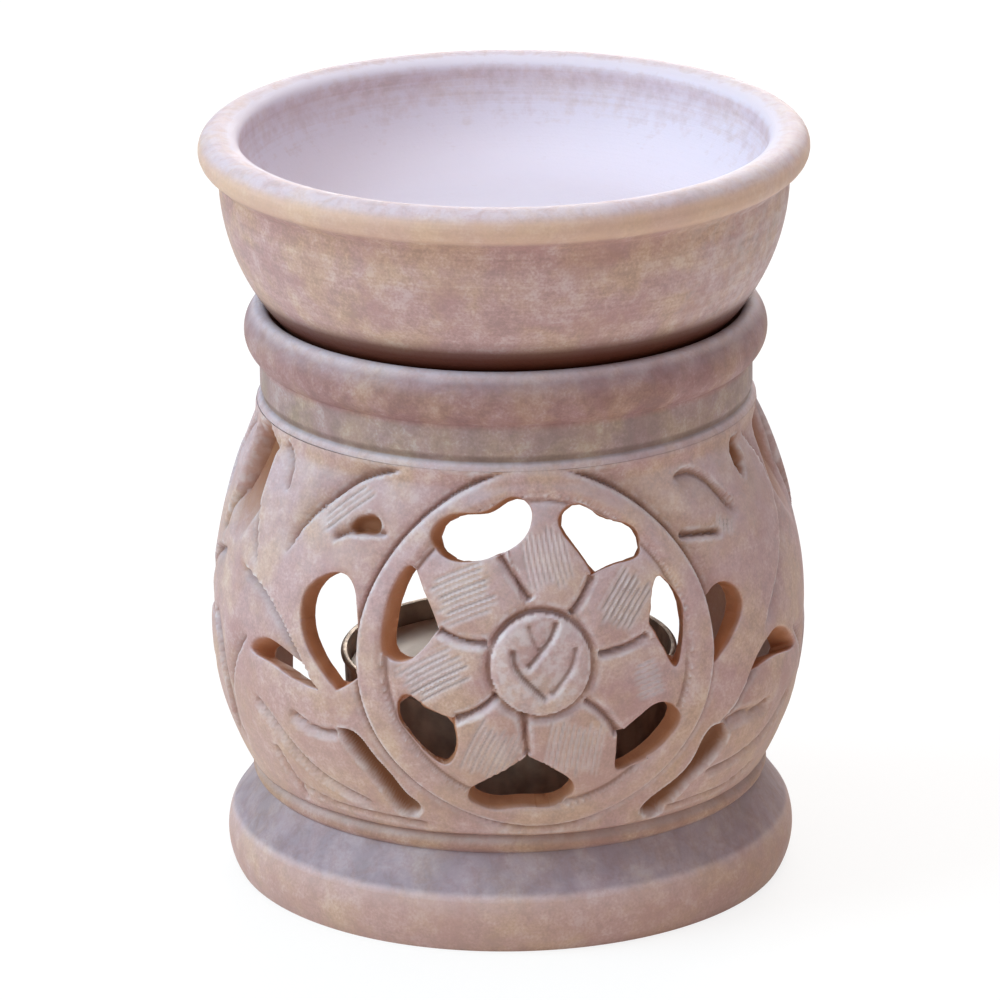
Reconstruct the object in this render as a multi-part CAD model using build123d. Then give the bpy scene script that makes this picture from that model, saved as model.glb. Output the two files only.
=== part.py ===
from build123d import *
import math
import os

# Essential oil burner in carved soapstone: a pierced body that shields a tealight,
# and a loose oil bowl that rests in the body's collar.
# Millimetres, +Z up. The origin is the centre of the foot's flat base.
# The carved flower faces -Y and the tealight goes in through the arch at +Y.

# Clearances and overruns
rest_clearance = 0.3
wax_clearance = 0.1
cut_overrun = 2.0

# Body radii: the belly leaves room round the tealight, and the rest is set out from it
chamber_side_room = 11.9
belly_wall = 3.0
belly_foot_draw_in = 4.4
belly_neck_draw_in = 6.2
waist_cut = 0.8
waist_bead_swell = 0.65
foot_flare = 2.9
foot_base_round = 1.0
foot_shoulder_round = 0.5
neck_groove_cut = 0.7
collar_swell = 1.7
collar_mouth_set_in = 0.2
collar_lip_width = 0.9

# Body heights, each stacked on the one below
foot_bulge_height = 3.6
foot_shoulder_height = 6.5
foot_height = 10.9
waist_bead_height = 2.0
waist_groove_height = 0.4
belly_rise = 15.7
belly_fall = 26.8
neck_groove_height = 0.5
neck_lip_height = 1.1
neck_height = 5.4
collar_length = 6.2

# Seat for the bowl inside the collar
seat_angle = 55.0
seat_width = 3.4
seat_wall_step = 1.0
seat_bore_height = 2.2

# Oil bowl
bowl_overhang = 4.3
bowl_wall_rise = 15.2
bowl_arc_radius = 24.0
bowl_foot_radius = 15.4
bowl_ridge_step = 0.9
bowl_ridge_height = 1.0
bowl_rim_overhang = 2.25
bowl_rim_bulge_rise = 2.0
bowl_rim_crown_rise = 2.0
bowl_rim_crown_width = 2.4
bowl_rim_width = 4.5
bowl_mouth_drop = 0.8
bowl_inside_depth = 11.0
bowl_floor_dish = 0.8

# Tealight
cup_base_radius = 18.7
cup_mouth_radius = 19.1
cup_height = 13.1
cup_wall = 0.3
cup_rim_roll_radius = 0.4
wax_freeboard = 2.5
wick_radius = 0.75
wick_rise = 8.0
sustainer_radius = 6.5
sustainer_thickness = 0.3
sustainer_neck_radius = 1.3
sustainer_neck_height = 3.2

# Chamber and the arch that lets the tealight in
chamber_floor_rise = 1.3
arch_side_room = 5.0
arch_spring_rise = 14.8
arch_rise = 33.8
arch_lean = 1.5

# Carving
medallion_radius = 21.5
medallion_rise = 21.8
petal_field_depth = 0.9
petal_groove_depth = 1.5
groove_depth = 0.8
groove_width = 0.9
pocket_depth = 2.0
side_mirror_angle = 77.0

# Outlines are hand chosen in shares of the medallion radius, measured along the belly
# from the centre of the flower: first across, then up.
ring_outer_shares = (1.04, 0.98)
ring_inner_shares = (0.875, 0.85)
bud_radius_share = 0.275

petal_gap_shares = [
    [(-0.22, 0.57), (-0.43, 0.525), (-0.57, 0.56), (-0.63, 0.65), (-0.56, 0.74),
     (-0.30, 0.785), (-0.13, 0.85), (-0.03, 0.79), (-0.06, 0.67)],
    [(-0.565, 0.17), (-0.64, 0.07), (-0.76, -0.02), (-0.86, 0.0), (-0.88, 0.15),
     (-0.83, 0.37), (-0.74, 0.49), (-0.66, 0.37), (-0.60, 0.26)],
    [(-0.475, -0.31), (-0.64, -0.24), (-0.75, -0.195), (-0.79, -0.27), (-0.73, -0.42),
     (-0.62, -0.54), (-0.52, -0.585), (-0.46, -0.50)],
    [(-0.08, -0.525), (-0.20, -0.62), (-0.33, -0.69), (-0.41, -0.77), (-0.34, -0.835),
     (-0.10, -0.845), (0.13, -0.825), (0.19, -0.75), (0.08, -0.62)],
    [(0.425, -0.445), (0.42, -0.57), (0.43, -0.66), (0.58, -0.62), (0.73, -0.50),
     (0.79, -0.38), (0.68, -0.295), (0.55, -0.35)],
    [(0.62, 0.14), (0.65, 0.27), (0.71, 0.38), (0.80, 0.30), (0.845, 0.15),
     (0.83, 0.0), (0.77, -0.115), (0.71, -0.02)],
    [(0.31, 0.44), (0.20, 0.60), (0.13, 0.735), (0.22, 0.80), (0.42, 0.72),
     (0.61, 0.62), (0.62, 0.52), (0.47, 0.48)],
]
left_leaf_gap_shares = [
    [(-1.15, -0.235), (-1.28, -0.12), (-1.40, 0.06), (-1.40, 0.23), (-1.28, 0.36),
     (-1.12, 0.385), (-1.06, 0.26), (-1.05, 0.05), (-1.03, -0.13)],
    [(-1.27, -0.25), (-1.44, -0.13), (-1.62, -0.07), (-1.78, -0.10), (-1.84, -0.165),
     (-1.70, -0.19), (-1.50, -0.225)],
]
right_leaf_gap_shares = [
    [(1.03, -0.18), (1.05, -0.02), (1.03, 0.17), (1.08, 0.25), (1.22, 0.23),
     (1.28, 0.12), (1.20, -0.02)],
    [(1.28, -0.31), (1.40, -0.18), (1.58, -0.12), (1.76, -0.17), (1.90, -0.31),
     (1.70, -0.285), (1.48, -0.26)],
]
left_pocket_shares = [
    [(-1.13, -0.42), (-1.00, -0.58), (-0.85, -0.74), (-0.71, -0.88), (-0.76, -0.925),
     (-0.86, -0.86), (-1.02, -0.64), (-1.15, -0.49)],
    [(-1.17, 0.62), (-1.05, 0.685), (-0.93, 0.69), (-1.00, 0.63)],
]
right_pocket_shares = [
    [(1.14, -0.50), (1.00, -0.60), (0.82, -0.78), (0.62, -0.93), (0.70, -0.96),
     (0.86, -0.86), (1.02, -0.73), (1.14, -0.60)],
    [(0.91, 0.56), (1.05, 0.60), (1.16, 0.55), (1.02, 0.535)],
]
side_pocket_shares = [
    (0.0, 0.33), (-0.13, 0.48), (-0.20, 0.68), (-0.15, 0.87), (0.0, 0.93),
    (0.15, 0.87), (0.20, 0.68), (0.13, 0.48)
]
petal_groove_shares = [
    [(-0.22, 0.57), (-0.05, 0.33)],
    [(-0.565, 0.17), (-0.42, 0.115), (-0.29, 0.11)],
    [(-0.475, -0.31), (-0.33, -0.25), (-0.24, -0.17)],
    [(-0.08, -0.525), (-0.09, -0.40), (-0.10, -0.27)],
    [(0.425, -0.445), (0.36, -0.33), (0.24, -0.22)],
    [(0.62, 0.07), (0.48, 0.04), (0.32, 0.02)],
    [(0.31, 0.44), (0.24, 0.33), (0.17, 0.25)],
]
leaf_groove_shares = [
    [(1.20, -0.40), (1.34, -0.22), (1.50, -0.01), (1.72, 0.16), (1.90, 0.36),
     (1.95, 0.62), (1.86, 0.90)],
    [(0.90, 0.90), (1.14, 0.86), (1.36, 0.70), (1.56, 0.45)],
]
lower_leaf_groove_shares = [
    [(1.84, -0.20), (2.00, -0.38), (2.06, -0.62), (1.98, -0.84)],
    [(1.00, -0.86), (1.24, -0.80), (1.50, -0.67), (1.84, -0.48)],
]


# Radii worked out from the sizes above
tealight_reach = cup_mouth_radius + cup_rim_roll_radius
belly_radius = tealight_reach + chamber_side_room + belly_wall
belly_foot_radius = belly_radius - belly_foot_draw_in
waist_radius = belly_foot_radius - waist_cut
foot_radius = belly_foot_radius + foot_flare
foot_base_radius = foot_radius - foot_base_round
foot_shoulder_radius = foot_radius - foot_shoulder_round
neck_radius = belly_radius - belly_neck_draw_in
collar_radius = neck_radius + collar_swell
collar_mouth_radius = neck_radius - collar_mouth_set_in
bowl_wall_radius = neck_radius + bowl_overhang
bowl_arc_centre_radius = bowl_wall_radius - bowl_arc_radius
bowl_rim_radius = bowl_wall_radius + bowl_rim_overhang
bowl_mouth_radius = bowl_rim_radius - bowl_rim_width
arch_half_width = tealight_reach + arch_side_room

# Heights worked out from the sizes above
waist_top_height = foot_height + waist_bead_height
belly_foot_height = waist_top_height + waist_groove_height
belly_height = belly_foot_height + belly_rise
belly_neck_height = belly_height + belly_fall
collar_base_height = belly_neck_height + neck_height
collar_height = collar_base_height + collar_length
chamber_floor_height = foot_height + chamber_floor_rise
bowl_arc_centre_height = collar_height + bowl_wall_rise
bowl_rim_foot_height = bowl_arc_centre_height + bowl_ridge_height
bowl_rim_bulge_height = bowl_rim_foot_height + bowl_rim_bulge_rise
bowl_rim_top_height = bowl_rim_bulge_height + bowl_rim_crown_rise
bowl_mouth_height = bowl_rim_top_height - bowl_mouth_drop
medallion_height = belly_foot_height + medallion_rise

def arc_through(drop, rise):
    # Radius of an arc that starts upright and falls back by drop over rise.
    return (drop * drop + rise * rise) / (2 * drop)


def belly_arcs():
    lower = arc_through(belly_foot_draw_in, belly_rise)
    upper = arc_through(belly_neck_draw_in, belly_fall)
    return lower, upper


def belly_radius_at(height, inset=0.0):
    lower, upper = belly_arcs()
    arc = (lower if height < belly_height else upper) - inset
    fall = height - belly_height
    return belly_radius - inset - arc + math.sqrt(arc * arc - fall * fall)


def belly_curves(low, high, inset=0.0):
    # The belly's side from low to high, as two arcs that meet at its widest height.
    curves = []
    for start, end in ((low, belly_height), (belly_height, high)):
        middle = (start + end) / 2
        curves.append(ThreePointArc(
            (belly_radius_at(start, inset), start),
            (belly_radius_at(middle, inset), middle),
            (belly_radius_at(end, inset), end)))
    return curves


def turned(curves):
    # Revolves a closed outline of radius and height about the axis.
    outline = make_face(Wire(curves))
    return revolve(Plane.XZ * outline, Axis.Z, 360)


def path(*points):
    return [Line(start, end) for start, end in zip(points, points[1:])]


def seat_points():
    # The bowl's underside touches the seat where its arc leans by the seat angle.
    angle = math.radians(seat_angle)
    reach = bowl_arc_radius + rest_clearance
    contact = (bowl_arc_centre_radius + reach * math.cos(angle),
               bowl_arc_centre_height - reach * math.sin(angle))
    half = seat_width / 2
    inner = (contact[0] - half * math.sin(angle), contact[1] - half * math.cos(angle))
    outer = (contact[0] + half * math.sin(angle), contact[1] + half * math.cos(angle))
    return inner, outer


def body_blank():
    foot_side = ThreePointArc((foot_base_radius, 0), (foot_radius, foot_bulge_height),
                              (foot_shoulder_radius, foot_shoulder_height))
    bead = ThreePointArc((waist_radius, foot_height),
                         (waist_radius + waist_bead_swell, foot_height + waist_bead_height / 2),
                         (waist_radius, waist_top_height))
    groove_height = belly_neck_height + neck_groove_height
    lip_height = belly_neck_height + neck_lip_height
    collar_middle = (collar_base_height + collar_height) / 2
    collar_edge = (collar_mouth_radius + collar_lip_width, collar_height)
    collar_side = ThreePointArc((neck_radius, collar_base_height),
                                (collar_radius, collar_middle), collar_edge)
    seat_inner, seat_outer = seat_points()
    seat_wall = (seat_outer[0] + seat_wall_step, seat_outer[1])
    bore_foot = (seat_inner[0], seat_inner[1] - seat_bore_height)
    chamber_top = (belly_radius_at(belly_neck_height, belly_wall), belly_neck_height)
    chamber_side = belly_curves(chamber_floor_height, belly_neck_height, belly_wall)
    floor_edge = (belly_radius_at(chamber_floor_height, belly_wall), chamber_floor_height)
    curves = path((0, 0), (foot_base_radius, 0))
    curves.append(foot_side)
    curves += path((foot_shoulder_radius, foot_shoulder_height), (waist_radius, foot_height))
    curves.append(bead)
    curves += path((waist_radius, waist_top_height), (belly_foot_radius, belly_foot_height))
    curves += belly_curves(belly_foot_height, belly_neck_height)
    curves += path((neck_radius, belly_neck_height),
                   (neck_radius - neck_groove_cut, groove_height),
                   (neck_radius, lip_height), (neck_radius, collar_base_height))
    curves.append(collar_side)
    curves += path(collar_edge, (collar_mouth_radius, collar_height), seat_wall, seat_outer,
                   seat_inner, bore_foot, chamber_top)
    curves += chamber_side
    curves += path(floor_edge, (0, chamber_floor_height), (0, 0))
    return turned(curves)


def belly_core(inset):
    # The belly as a full solid, set in from its surface.
    low = foot_height
    high = collar_base_height
    curves = path((0, low), (belly_radius_at(low, inset), low))
    curves += belly_curves(low, high, inset)
    curves += path((belly_radius_at(high, inset), high), (0, high), (0, low))
    return turned(curves)


def on_belly(across_share, up_share):
    # The angle round the axis and the height of a point of the carving.
    angle = across_share * medallion_radius / belly_radius
    height = medallion_height + up_share * medallion_radius
    return angle, height


def belly_point(across_share, up_share):
    angle, height = on_belly(across_share, up_share)
    radius = belly_radius_at(height)
    return Vector(radius * math.sin(angle), -radius * math.cos(angle), height)


def carving_plane(shares):
    # A plane square to the belly under the middle of an outline.
    count = len(shares)
    middle_across = sum(point[0] for point in shares) / count
    middle_up = sum(point[1] for point in shares) / count
    angle, height = on_belly(middle_across, middle_up)
    lower, upper = belly_arcs()
    tilt = math.asin((height - belly_height) / (lower if height < belly_height else upper))
    outward = Vector(math.sin(angle) * math.cos(tilt), -math.cos(angle) * math.cos(tilt),
                     math.sin(tilt))
    across = Vector(math.cos(angle), math.sin(angle), 0)
    return Plane(origin=belly_point(middle_across, middle_up), x_dir=across, z_dir=outward)


def flat_points(plane, shares):
    points = [plane.to_local_coords(belly_point(*point)) for point in shares]
    return [(point.X, point.Y) for point in points]


def carving_prism(shares, depth):
    # A hole or pocket blank: a smooth closed outline with one corner at its first point.
    plane = carving_plane(shares)
    points = flat_points(plane, shares)
    face = make_face(Spline(*points, points[0]))
    blank = extrude(face, depth + cut_overrun)
    return plane * Pos(0, 0, -depth) * blank


def groove_prism(shares):
    # A groove blank that follows a line of the carving.
    plane = carving_plane(shares)
    points = flat_points(plane, shares)
    line = Spline(*points) if len(points) > 2 else Line(*points)
    face = trace(line, groove_width)
    return plane * Pos(0, 0, -belly_wall) * extrude(face, belly_wall + cut_overrun)


def mirrored(shares):
    return [(-across, up) for across, up in shares]


def behind(shares):
    # The same outline carried past the side, where the pattern turns back on itself.
    side = math.radians(side_mirror_angle) * belly_radius / medallion_radius
    return [(math.copysign(2 * side, across) - across, up) for across, up in shares]


def front_ellipse(radius_shares):
    # An ellipse of the medallion seen from the front, run outward past the belly.
    across_share, up_share = radius_shares
    half_width = belly_radius * math.sin(across_share * medallion_radius / belly_radius)
    front = Plane(origin=(0, 0, medallion_height), x_dir=(1, 0, 0), z_dir=(0, -1, 0))
    return front * extrude(Ellipse(half_width, up_share * medallion_radius),
                           belly_radius + cut_overrun)


def leaf_gaps():
    gaps = list(petal_gap_shares)
    for shares in left_leaf_gap_shares + right_leaf_gap_shares:
        gaps.append(shares)
        gaps.append(behind(shares))
    return [carving_prism(shares, belly_wall + cut_overrun) for shares in gaps]


def pockets():
    shapes = left_pocket_shares + right_pocket_shares
    tools = [carving_prism(shares, pocket_depth + cut_overrun) for shares in shapes]
    side = math.radians(side_mirror_angle) * belly_radius / medallion_radius
    for sign in (-1, 1):
        shares = [(sign * side + across, up) for across, up in side_pocket_shares]
        tools.append(carving_prism(shares, pocket_depth + cut_overrun))
    return tools


def leaf_grooves():
    lines = []
    for shares in leaf_groove_shares + lower_leaf_groove_shares:
        lines += [shares, mirrored(shares)]
    return [groove_prism(shares) for shares in lines]


def petal_grooves():
    return [groove_prism(shares) for shares in petal_groove_shares]


def carve(body, tools, depth):
    # Takes the tools out of the body no deeper than the stated depth below the belly.
    core = belly_core(depth)
    return body - [tool - core for tool in tools]


def petal_field():
    ring_edge = front_ellipse(ring_inner_shares)
    bud = front_ellipse((bud_radius_share, bud_radius_share))
    return ring_edge - bud


def ring_groove():
    width_share = groove_width / medallion_radius
    outer = tuple(share + width_share for share in ring_outer_shares)
    return front_ellipse(outer) - front_ellipse(ring_outer_shares)


def arch_blank():
    back = Plane(origin=(0, 0, 0), x_dir=(-1, 0, 0), z_dir=(0, 1, 0))
    low = chamber_floor_height
    spring = low + arch_spring_rise
    top_half = arch_half_width - arch_lean
    sides = path((-top_half, spring), (-arch_half_width, low),
                 (arch_half_width, low), (top_half, spring))
    crown = ThreePointArc((top_half, spring), (0, low + arch_rise), (-top_half, spring))
    return back * extrude(make_face(Wire(sides + [crown])), belly_radius + cut_overrun)


def burner_body():
    body = body_blank() - leaf_gaps()
    body -= arch_blank()
    body = carve(body, [petal_field()], petal_field_depth)
    body = carve(body, petal_grooves(), petal_groove_depth)
    body = carve(body, [ring_groove()] + leaf_grooves(), groove_depth)
    return carve(body, pockets(), pocket_depth)


def bowl_underside(radius):
    # The height of the bowl's outer arc at a radius below its widest level.
    reach = radius - bowl_arc_centre_radius
    return bowl_arc_centre_height - math.sqrt(bowl_arc_radius ** 2 - reach * reach)


def oil_bowl():
    foot_level = bowl_underside(bowl_foot_radius)
    middle_radius = bowl_arc_centre_radius + bowl_arc_radius * math.sin(math.radians(seat_angle))
    side = ThreePointArc((bowl_foot_radius, foot_level),
                         (middle_radius, bowl_underside(middle_radius)),
                         (bowl_wall_radius, bowl_arc_centre_height))
    rim_foot = (bowl_wall_radius + bowl_ridge_step, bowl_rim_foot_height)
    rim_top = (bowl_rim_radius - bowl_rim_crown_width, bowl_rim_top_height)
    rim_side = ThreePointArc(rim_foot, (bowl_rim_radius, bowl_rim_bulge_height), rim_top)
    mouth = (bowl_mouth_radius, bowl_mouth_height)
    floor_radius = bowl_mouth_radius - bowl_inside_depth
    floor_level = bowl_mouth_height - bowl_inside_depth
    diagonal = bowl_inside_depth * math.sqrt(2) / 2
    inside_wall = ThreePointArc(mouth, (floor_radius + diagonal, bowl_mouth_height - diagonal),
                                (floor_radius, floor_level))
    centre_level = floor_level - bowl_floor_dish
    curves = path((0, foot_level), (bowl_foot_radius, foot_level))
    curves.append(side)
    curves += path((bowl_wall_radius, bowl_arc_centre_height), rim_foot)
    curves += [rim_side, Line(rim_top, mouth), inside_wall]
    curves += path((floor_radius, floor_level), (0, centre_level), (0, foot_level))
    return turned(curves)


def tealight_cup():
    low = chamber_floor_height
    high = low + cup_height
    roll_low = high - 2 * cup_rim_roll_radius
    roll_middle = (cup_mouth_radius + cup_rim_roll_radius, high - cup_rim_roll_radius)
    curves = path((0, low), (cup_base_radius, low), (cup_mouth_radius, roll_low))
    curves.append(ThreePointArc((cup_mouth_radius, roll_low), roll_middle,
                                (cup_mouth_radius, high)))
    curves += path((cup_mouth_radius, high), (cup_mouth_radius - cup_wall, high),
                   (cup_base_radius - cup_wall, low + cup_wall), (0, low + cup_wall), (0, low))
    return turned(curves)


def tealight_wax():
    low = chamber_floor_height + cup_wall
    high = chamber_floor_height + cup_height - wax_freeboard
    lean = (cup_mouth_radius - cup_base_radius) / cup_height
    top_radius = cup_base_radius - cup_wall - wax_clearance + lean * (high - low)
    base_radius = cup_base_radius - cup_wall - wax_clearance
    tab_radius = sustainer_radius + wax_clearance
    neck_radius_clear = sustainer_neck_radius + wax_clearance
    tab_top = low + sustainer_thickness + wax_clearance
    neck_top = low + sustainer_thickness + sustainer_neck_height + wax_clearance
    bore = wick_radius + wax_clearance
    curves = path((tab_radius, low), (base_radius, low), (top_radius, high), (bore, high),
                  (bore, neck_top), (neck_radius_clear, neck_top), (neck_radius_clear, tab_top),
                  (tab_radius, tab_top), (tab_radius, low))
    return turned(curves)


def wick_sustainer():
    low = chamber_floor_height + cup_wall
    plate_top = low + sustainer_thickness
    neck_top = plate_top + sustainer_neck_height
    bore = wick_radius + wax_clearance
    curves = path((0, low), (sustainer_radius, low), (sustainer_radius, plate_top),
                  (sustainer_neck_radius, plate_top), (sustainer_neck_radius, neck_top),
                  (bore, neck_top), (bore, plate_top), (0, plate_top), (0, low))
    return turned(curves)


def tealight_wick():
    low = chamber_floor_height + cup_wall + sustainer_thickness
    high = chamber_floor_height + cup_height - wax_freeboard + wick_rise
    curves = path((0, low), (wick_radius, low), (wick_radius, high), (0, high), (0, low))
    return turned(curves)


os.makedirs("parts", exist_ok=True)
parts = {
    "burner_body": burner_body(),
    "oil_bowl": oil_bowl(),
    "tealight_cup": tealight_cup(),
    "tealight_wax": tealight_wax(),
    "wick_sustainer": wick_sustainer(),
    "tealight_wick": tealight_wick(),
}
for name, part in parts.items():
    export_step(part, f"parts/{name}.step")
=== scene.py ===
import math
import bpy
import numpy as np
from mathutils import Matrix, Vector


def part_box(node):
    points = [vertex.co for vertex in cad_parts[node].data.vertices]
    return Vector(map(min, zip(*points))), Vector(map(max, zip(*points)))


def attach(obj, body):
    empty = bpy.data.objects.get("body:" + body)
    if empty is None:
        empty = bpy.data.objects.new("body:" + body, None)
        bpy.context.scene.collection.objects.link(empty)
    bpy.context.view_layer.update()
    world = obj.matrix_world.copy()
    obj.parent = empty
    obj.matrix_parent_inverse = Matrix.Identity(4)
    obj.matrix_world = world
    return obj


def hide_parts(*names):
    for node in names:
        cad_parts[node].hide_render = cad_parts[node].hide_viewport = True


# The looks of an essential oil burner in carved soapstone, its bowl and its tealight.
# Lengths are millimetres until a mesh is made, which turns them into metres.
# Angles round the axis start at -Y, where the carved flower is, and grow towards +X.

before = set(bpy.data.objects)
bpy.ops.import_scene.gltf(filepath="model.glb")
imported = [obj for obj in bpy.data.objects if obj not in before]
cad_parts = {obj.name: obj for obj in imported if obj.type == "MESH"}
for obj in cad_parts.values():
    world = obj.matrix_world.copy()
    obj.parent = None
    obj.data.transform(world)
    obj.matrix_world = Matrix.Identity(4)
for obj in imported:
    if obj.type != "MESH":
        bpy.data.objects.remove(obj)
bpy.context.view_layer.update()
MM = 0.001
FULL_TURN = 2 * math.pi


def node_box(name):
    low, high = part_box(name)
    return [value / MM for value in low], [value / MM for value in high]


BODY_HIGH = node_box("burner_body")[1]
BOWL_LOW, BOWL_HIGH = node_box("oil_bowl")
CUP_LOW, CUP_HIGH = node_box("tealight_cup")
WAX_LOW, WAX_HIGH = node_box("tealight_wax")
WICK_LOW, WICK_HIGH = node_box("tealight_wick")

# Body. A pair is a radius and a level.
BELLY_RADIUS = BODY_HIGH[0]
BELLY_LEVEL = 29.0
BELLY_FOOT = (30.0, 13.3)
BELLY_NECK = (28.2, 55.8)
WALL = 3.0
WAIST_RADIUS = 29.2
FOOT_TOP = 10.9
FOOT_SIDE = ((31.9, 0.0), (32.9, 3.6), (32.4, 6.5))
BEAD_TOP = 12.9
BEAD_SWELL = 0.65
FLOOR_LEVEL = CUP_LOW[2]
COLLAR_TOP = BODY_HIGH[2]
COLLAR_BASE = 61.2
COLLAR_RADIUS = 29.9
COLLAR_EDGE = (29.05, COLLAR_TOP - 0.7)
COLLAR_MOUTH_ROWS = 22
NECK_FLARE = 0.45
SEAT_ANGLE = math.radians(55)
SEAT_HALF = 1.7
SEAT_STEP = 1.0
SEAT_BORE = 2.2
REST_GAP = 0.3

# Oil bowl
BOWL_ARC_CENTRE = (8.5, 82.6)
BOWL_ARC_RADIUS = 24.0
BOWL_FOOT_RADIUS = 15.4
BOWL_RIDGE = (33.4, 83.6)
BOWL_BULGE_LEVEL = 85.6
BOWL_CROWN_WIDTH = 2.4
BOWL_RIM_WIDTH = 4.5
BOWL_MOUTH_DROP = 0.8
BOWL_DEPTH = 11.0
BOWL_DISH = 0.8
BOWL_COLUMNS = 320
UNDERSIDE_SHADOW_TOP = 71.3

# Tealight
CUP_WALL = 0.3
CUP_ROLL = 0.4
CUP_TAPER = 0.4
CUP_COLUMNS = 384
FLUTES = 48
FLUTE_DEPTH = 0.11
STRAND_SIDES = 10

# Carving
MEDALLION_RADIUS = 21.5
MEDALLION_LEVEL = 35.1
RING_OUTER_SHARES = (1.04, 0.98)
RING_INNER_SHARES = (0.875, 0.85)
BUD_RADIUS_SHARE = 0.275
BUD_DROP_SHARE = 0.015
FIELD_DEPTH = 0.9
RECESS_DEPTH = 2.0
SIDE_MIRROR_SHARE = 2.15
CARVED_TO_SHARE = 3.10
EDGE_WEAR = 0.16

# Arch at the back
ARCH_HALF_WIDTH = 24.5
ARCH_TOP_HALF = 23.0
ARCH_SPRING = 27.0
ARCH_TOP = 46.0

# Mesh pitches: fine over the flower, coarser past each of these angles. The chamber's
# mesh is coarser still, and its seam is at SEAM_ANGLE.
FRONT_ANGLE = math.radians(47)
SEAM_ANGLE = math.radians(80)
BACK_ANGLE = math.radians(112)
FRONT_PITCH = 0.225
SIDE_PITCH = 0.45
BACK_PITCH = 0.90
INNER_PITCH = 1.15
TURNED_COLUMNS = 168

# Outlines in shares of the medallion radius, across and up from the flower's centre.
PETAL_GAPS = [
    [(-0.22, 0.57), (-0.43, 0.525), (-0.57, 0.56), (-0.63, 0.65), (-0.56, 0.74),
     (-0.30, 0.785), (-0.13, 0.85), (-0.03, 0.79), (-0.06, 0.67)],
    [(-0.565, 0.17), (-0.64, 0.07), (-0.76, -0.02), (-0.86, 0.0), (-0.88, 0.15),
     (-0.83, 0.37), (-0.74, 0.49), (-0.66, 0.37), (-0.60, 0.26)],
    [(-0.475, -0.31), (-0.64, -0.24), (-0.75, -0.195), (-0.79, -0.27), (-0.73, -0.42),
     (-0.62, -0.54), (-0.52, -0.585), (-0.46, -0.50)],
    [(-0.08, -0.525), (-0.20, -0.62), (-0.33, -0.69), (-0.41, -0.77), (-0.34, -0.835),
     (-0.10, -0.845), (0.13, -0.825), (0.19, -0.75), (0.08, -0.62)],
    [(0.425, -0.445), (0.42, -0.57), (0.43, -0.66), (0.58, -0.62), (0.73, -0.50),
     (0.79, -0.38), (0.68, -0.295), (0.55, -0.35)],
    [(0.62, 0.14), (0.65, 0.27), (0.71, 0.38), (0.80, 0.30), (0.845, 0.15),
     (0.83, 0.0), (0.77, -0.115), (0.71, -0.02)],
    [(0.31, 0.44), (0.20, 0.60), (0.13, 0.735), (0.22, 0.80), (0.42, 0.72),
     (0.61, 0.62), (0.62, 0.52), (0.47, 0.48)],
]
LEAF_GAPS = [
    [(-1.15, -0.235), (-1.28, -0.12), (-1.40, 0.06), (-1.40, 0.23), (-1.28, 0.36),
     (-1.12, 0.385), (-1.06, 0.26), (-1.05, 0.05), (-1.03, -0.13)],
    [(-1.27, -0.25), (-1.44, -0.13), (-1.62, -0.07), (-1.78, -0.10), (-1.84, -0.165),
     (-1.70, -0.19), (-1.50, -0.225)],
    [(1.03, -0.18), (1.05, -0.02), (1.03, 0.17), (1.08, 0.25), (1.22, 0.23),
     (1.28, 0.12), (1.20, -0.02)],
    [(1.28, -0.31), (1.40, -0.18), (1.58, -0.12), (1.76, -0.17), (1.90, -0.31),
     (1.70, -0.285), (1.48, -0.26)],
]
# How far each hole leans on its way in, across and up in millimetres.
HOLE_LEANS = [(0.7, 0.0), (0.9, 0.2), (-0.6, -0.8), (0.0, -0.2), (0.0, 0.0), (1.1, 0.0),
              (0.9, 0.0), (-0.3, 0.0), (1.0, -1.0), (0.5, 0.0), (-0.9, -0.9)]


# Small helpers

def wrapped(angle):
    """The same angle between minus and plus half a turn."""
    return (angle + math.pi) % (2 * math.pi) - math.pi


def smooth_step(values, start, end):
    ratio = np.clip((values - start) / (end - start), 0, 1)
    return ratio * ratio * (3 - 2 * ratio)


def hump(values, middle, width):
    return np.exp(-((values - middle) / width) ** 2)


def spline(points, steps=12):
    """A natural cubic through the points, as a line of short steps."""
    points = np.asarray(points, float)
    count = len(points)
    chords = np.linalg.norm(np.diff(points, axis=0), axis=1)
    system = np.eye(count)
    right = np.zeros_like(points)
    for i in range(1, count - 1):
        before, after = chords[i - 1], chords[i]
        system[i, i - 1:i + 2] = (before, 2 * (before + after), after)
        right[i] = 6 * ((points[i + 1] - points[i]) / after - (points[i] - points[i - 1]) / before)
    bend = np.linalg.solve(system, right)
    rows = []
    for i in range(count - 1):
        for after in np.arange(steps) / steps:
            before = 1 - after
            curve = bend[i] * (before ** 3 - before) + bend[i + 1] * (after ** 3 - after)
            rows.append(points[i] * before + points[i + 1] * after + curve * chords[i] ** 2 / 6)
    rows.append(points[-1])
    return np.array(rows)


def outline_line(points):
    """A closed outline in millimetres with one corner at its first point."""
    return spline(list(points) + [points[0]]) * MEDALLION_RADIUS


def along_line(line, places):
    """Distance to the line, side of it and share of its length, for each place."""
    nearest = np.full(len(places), np.inf)
    side = np.ones(len(places))
    share = np.zeros(len(places))
    lengths = np.linalg.norm(np.diff(line, axis=0), axis=1)
    total = lengths.sum()
    run = 0.0
    for start, end, length in zip(line, line[1:], lengths):
        if length == 0:
            continue
        step = (end - start) / length
        offset = places - start
        reach = np.clip(offset @ step, 0, length)
        away = offset - reach[:, None] * step
        distance = np.hypot(away[:, 0], away[:, 1])
        closer = distance < nearest
        nearest = np.where(closer, distance, nearest)
        turn = step[0] * offset[:, 1] - step[1] * offset[:, 0]
        side = np.where(closer, np.sign(turn), side)
        share = np.where(closer, (run + reach) / total, share)
        run += length
    return nearest, side, share


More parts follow.
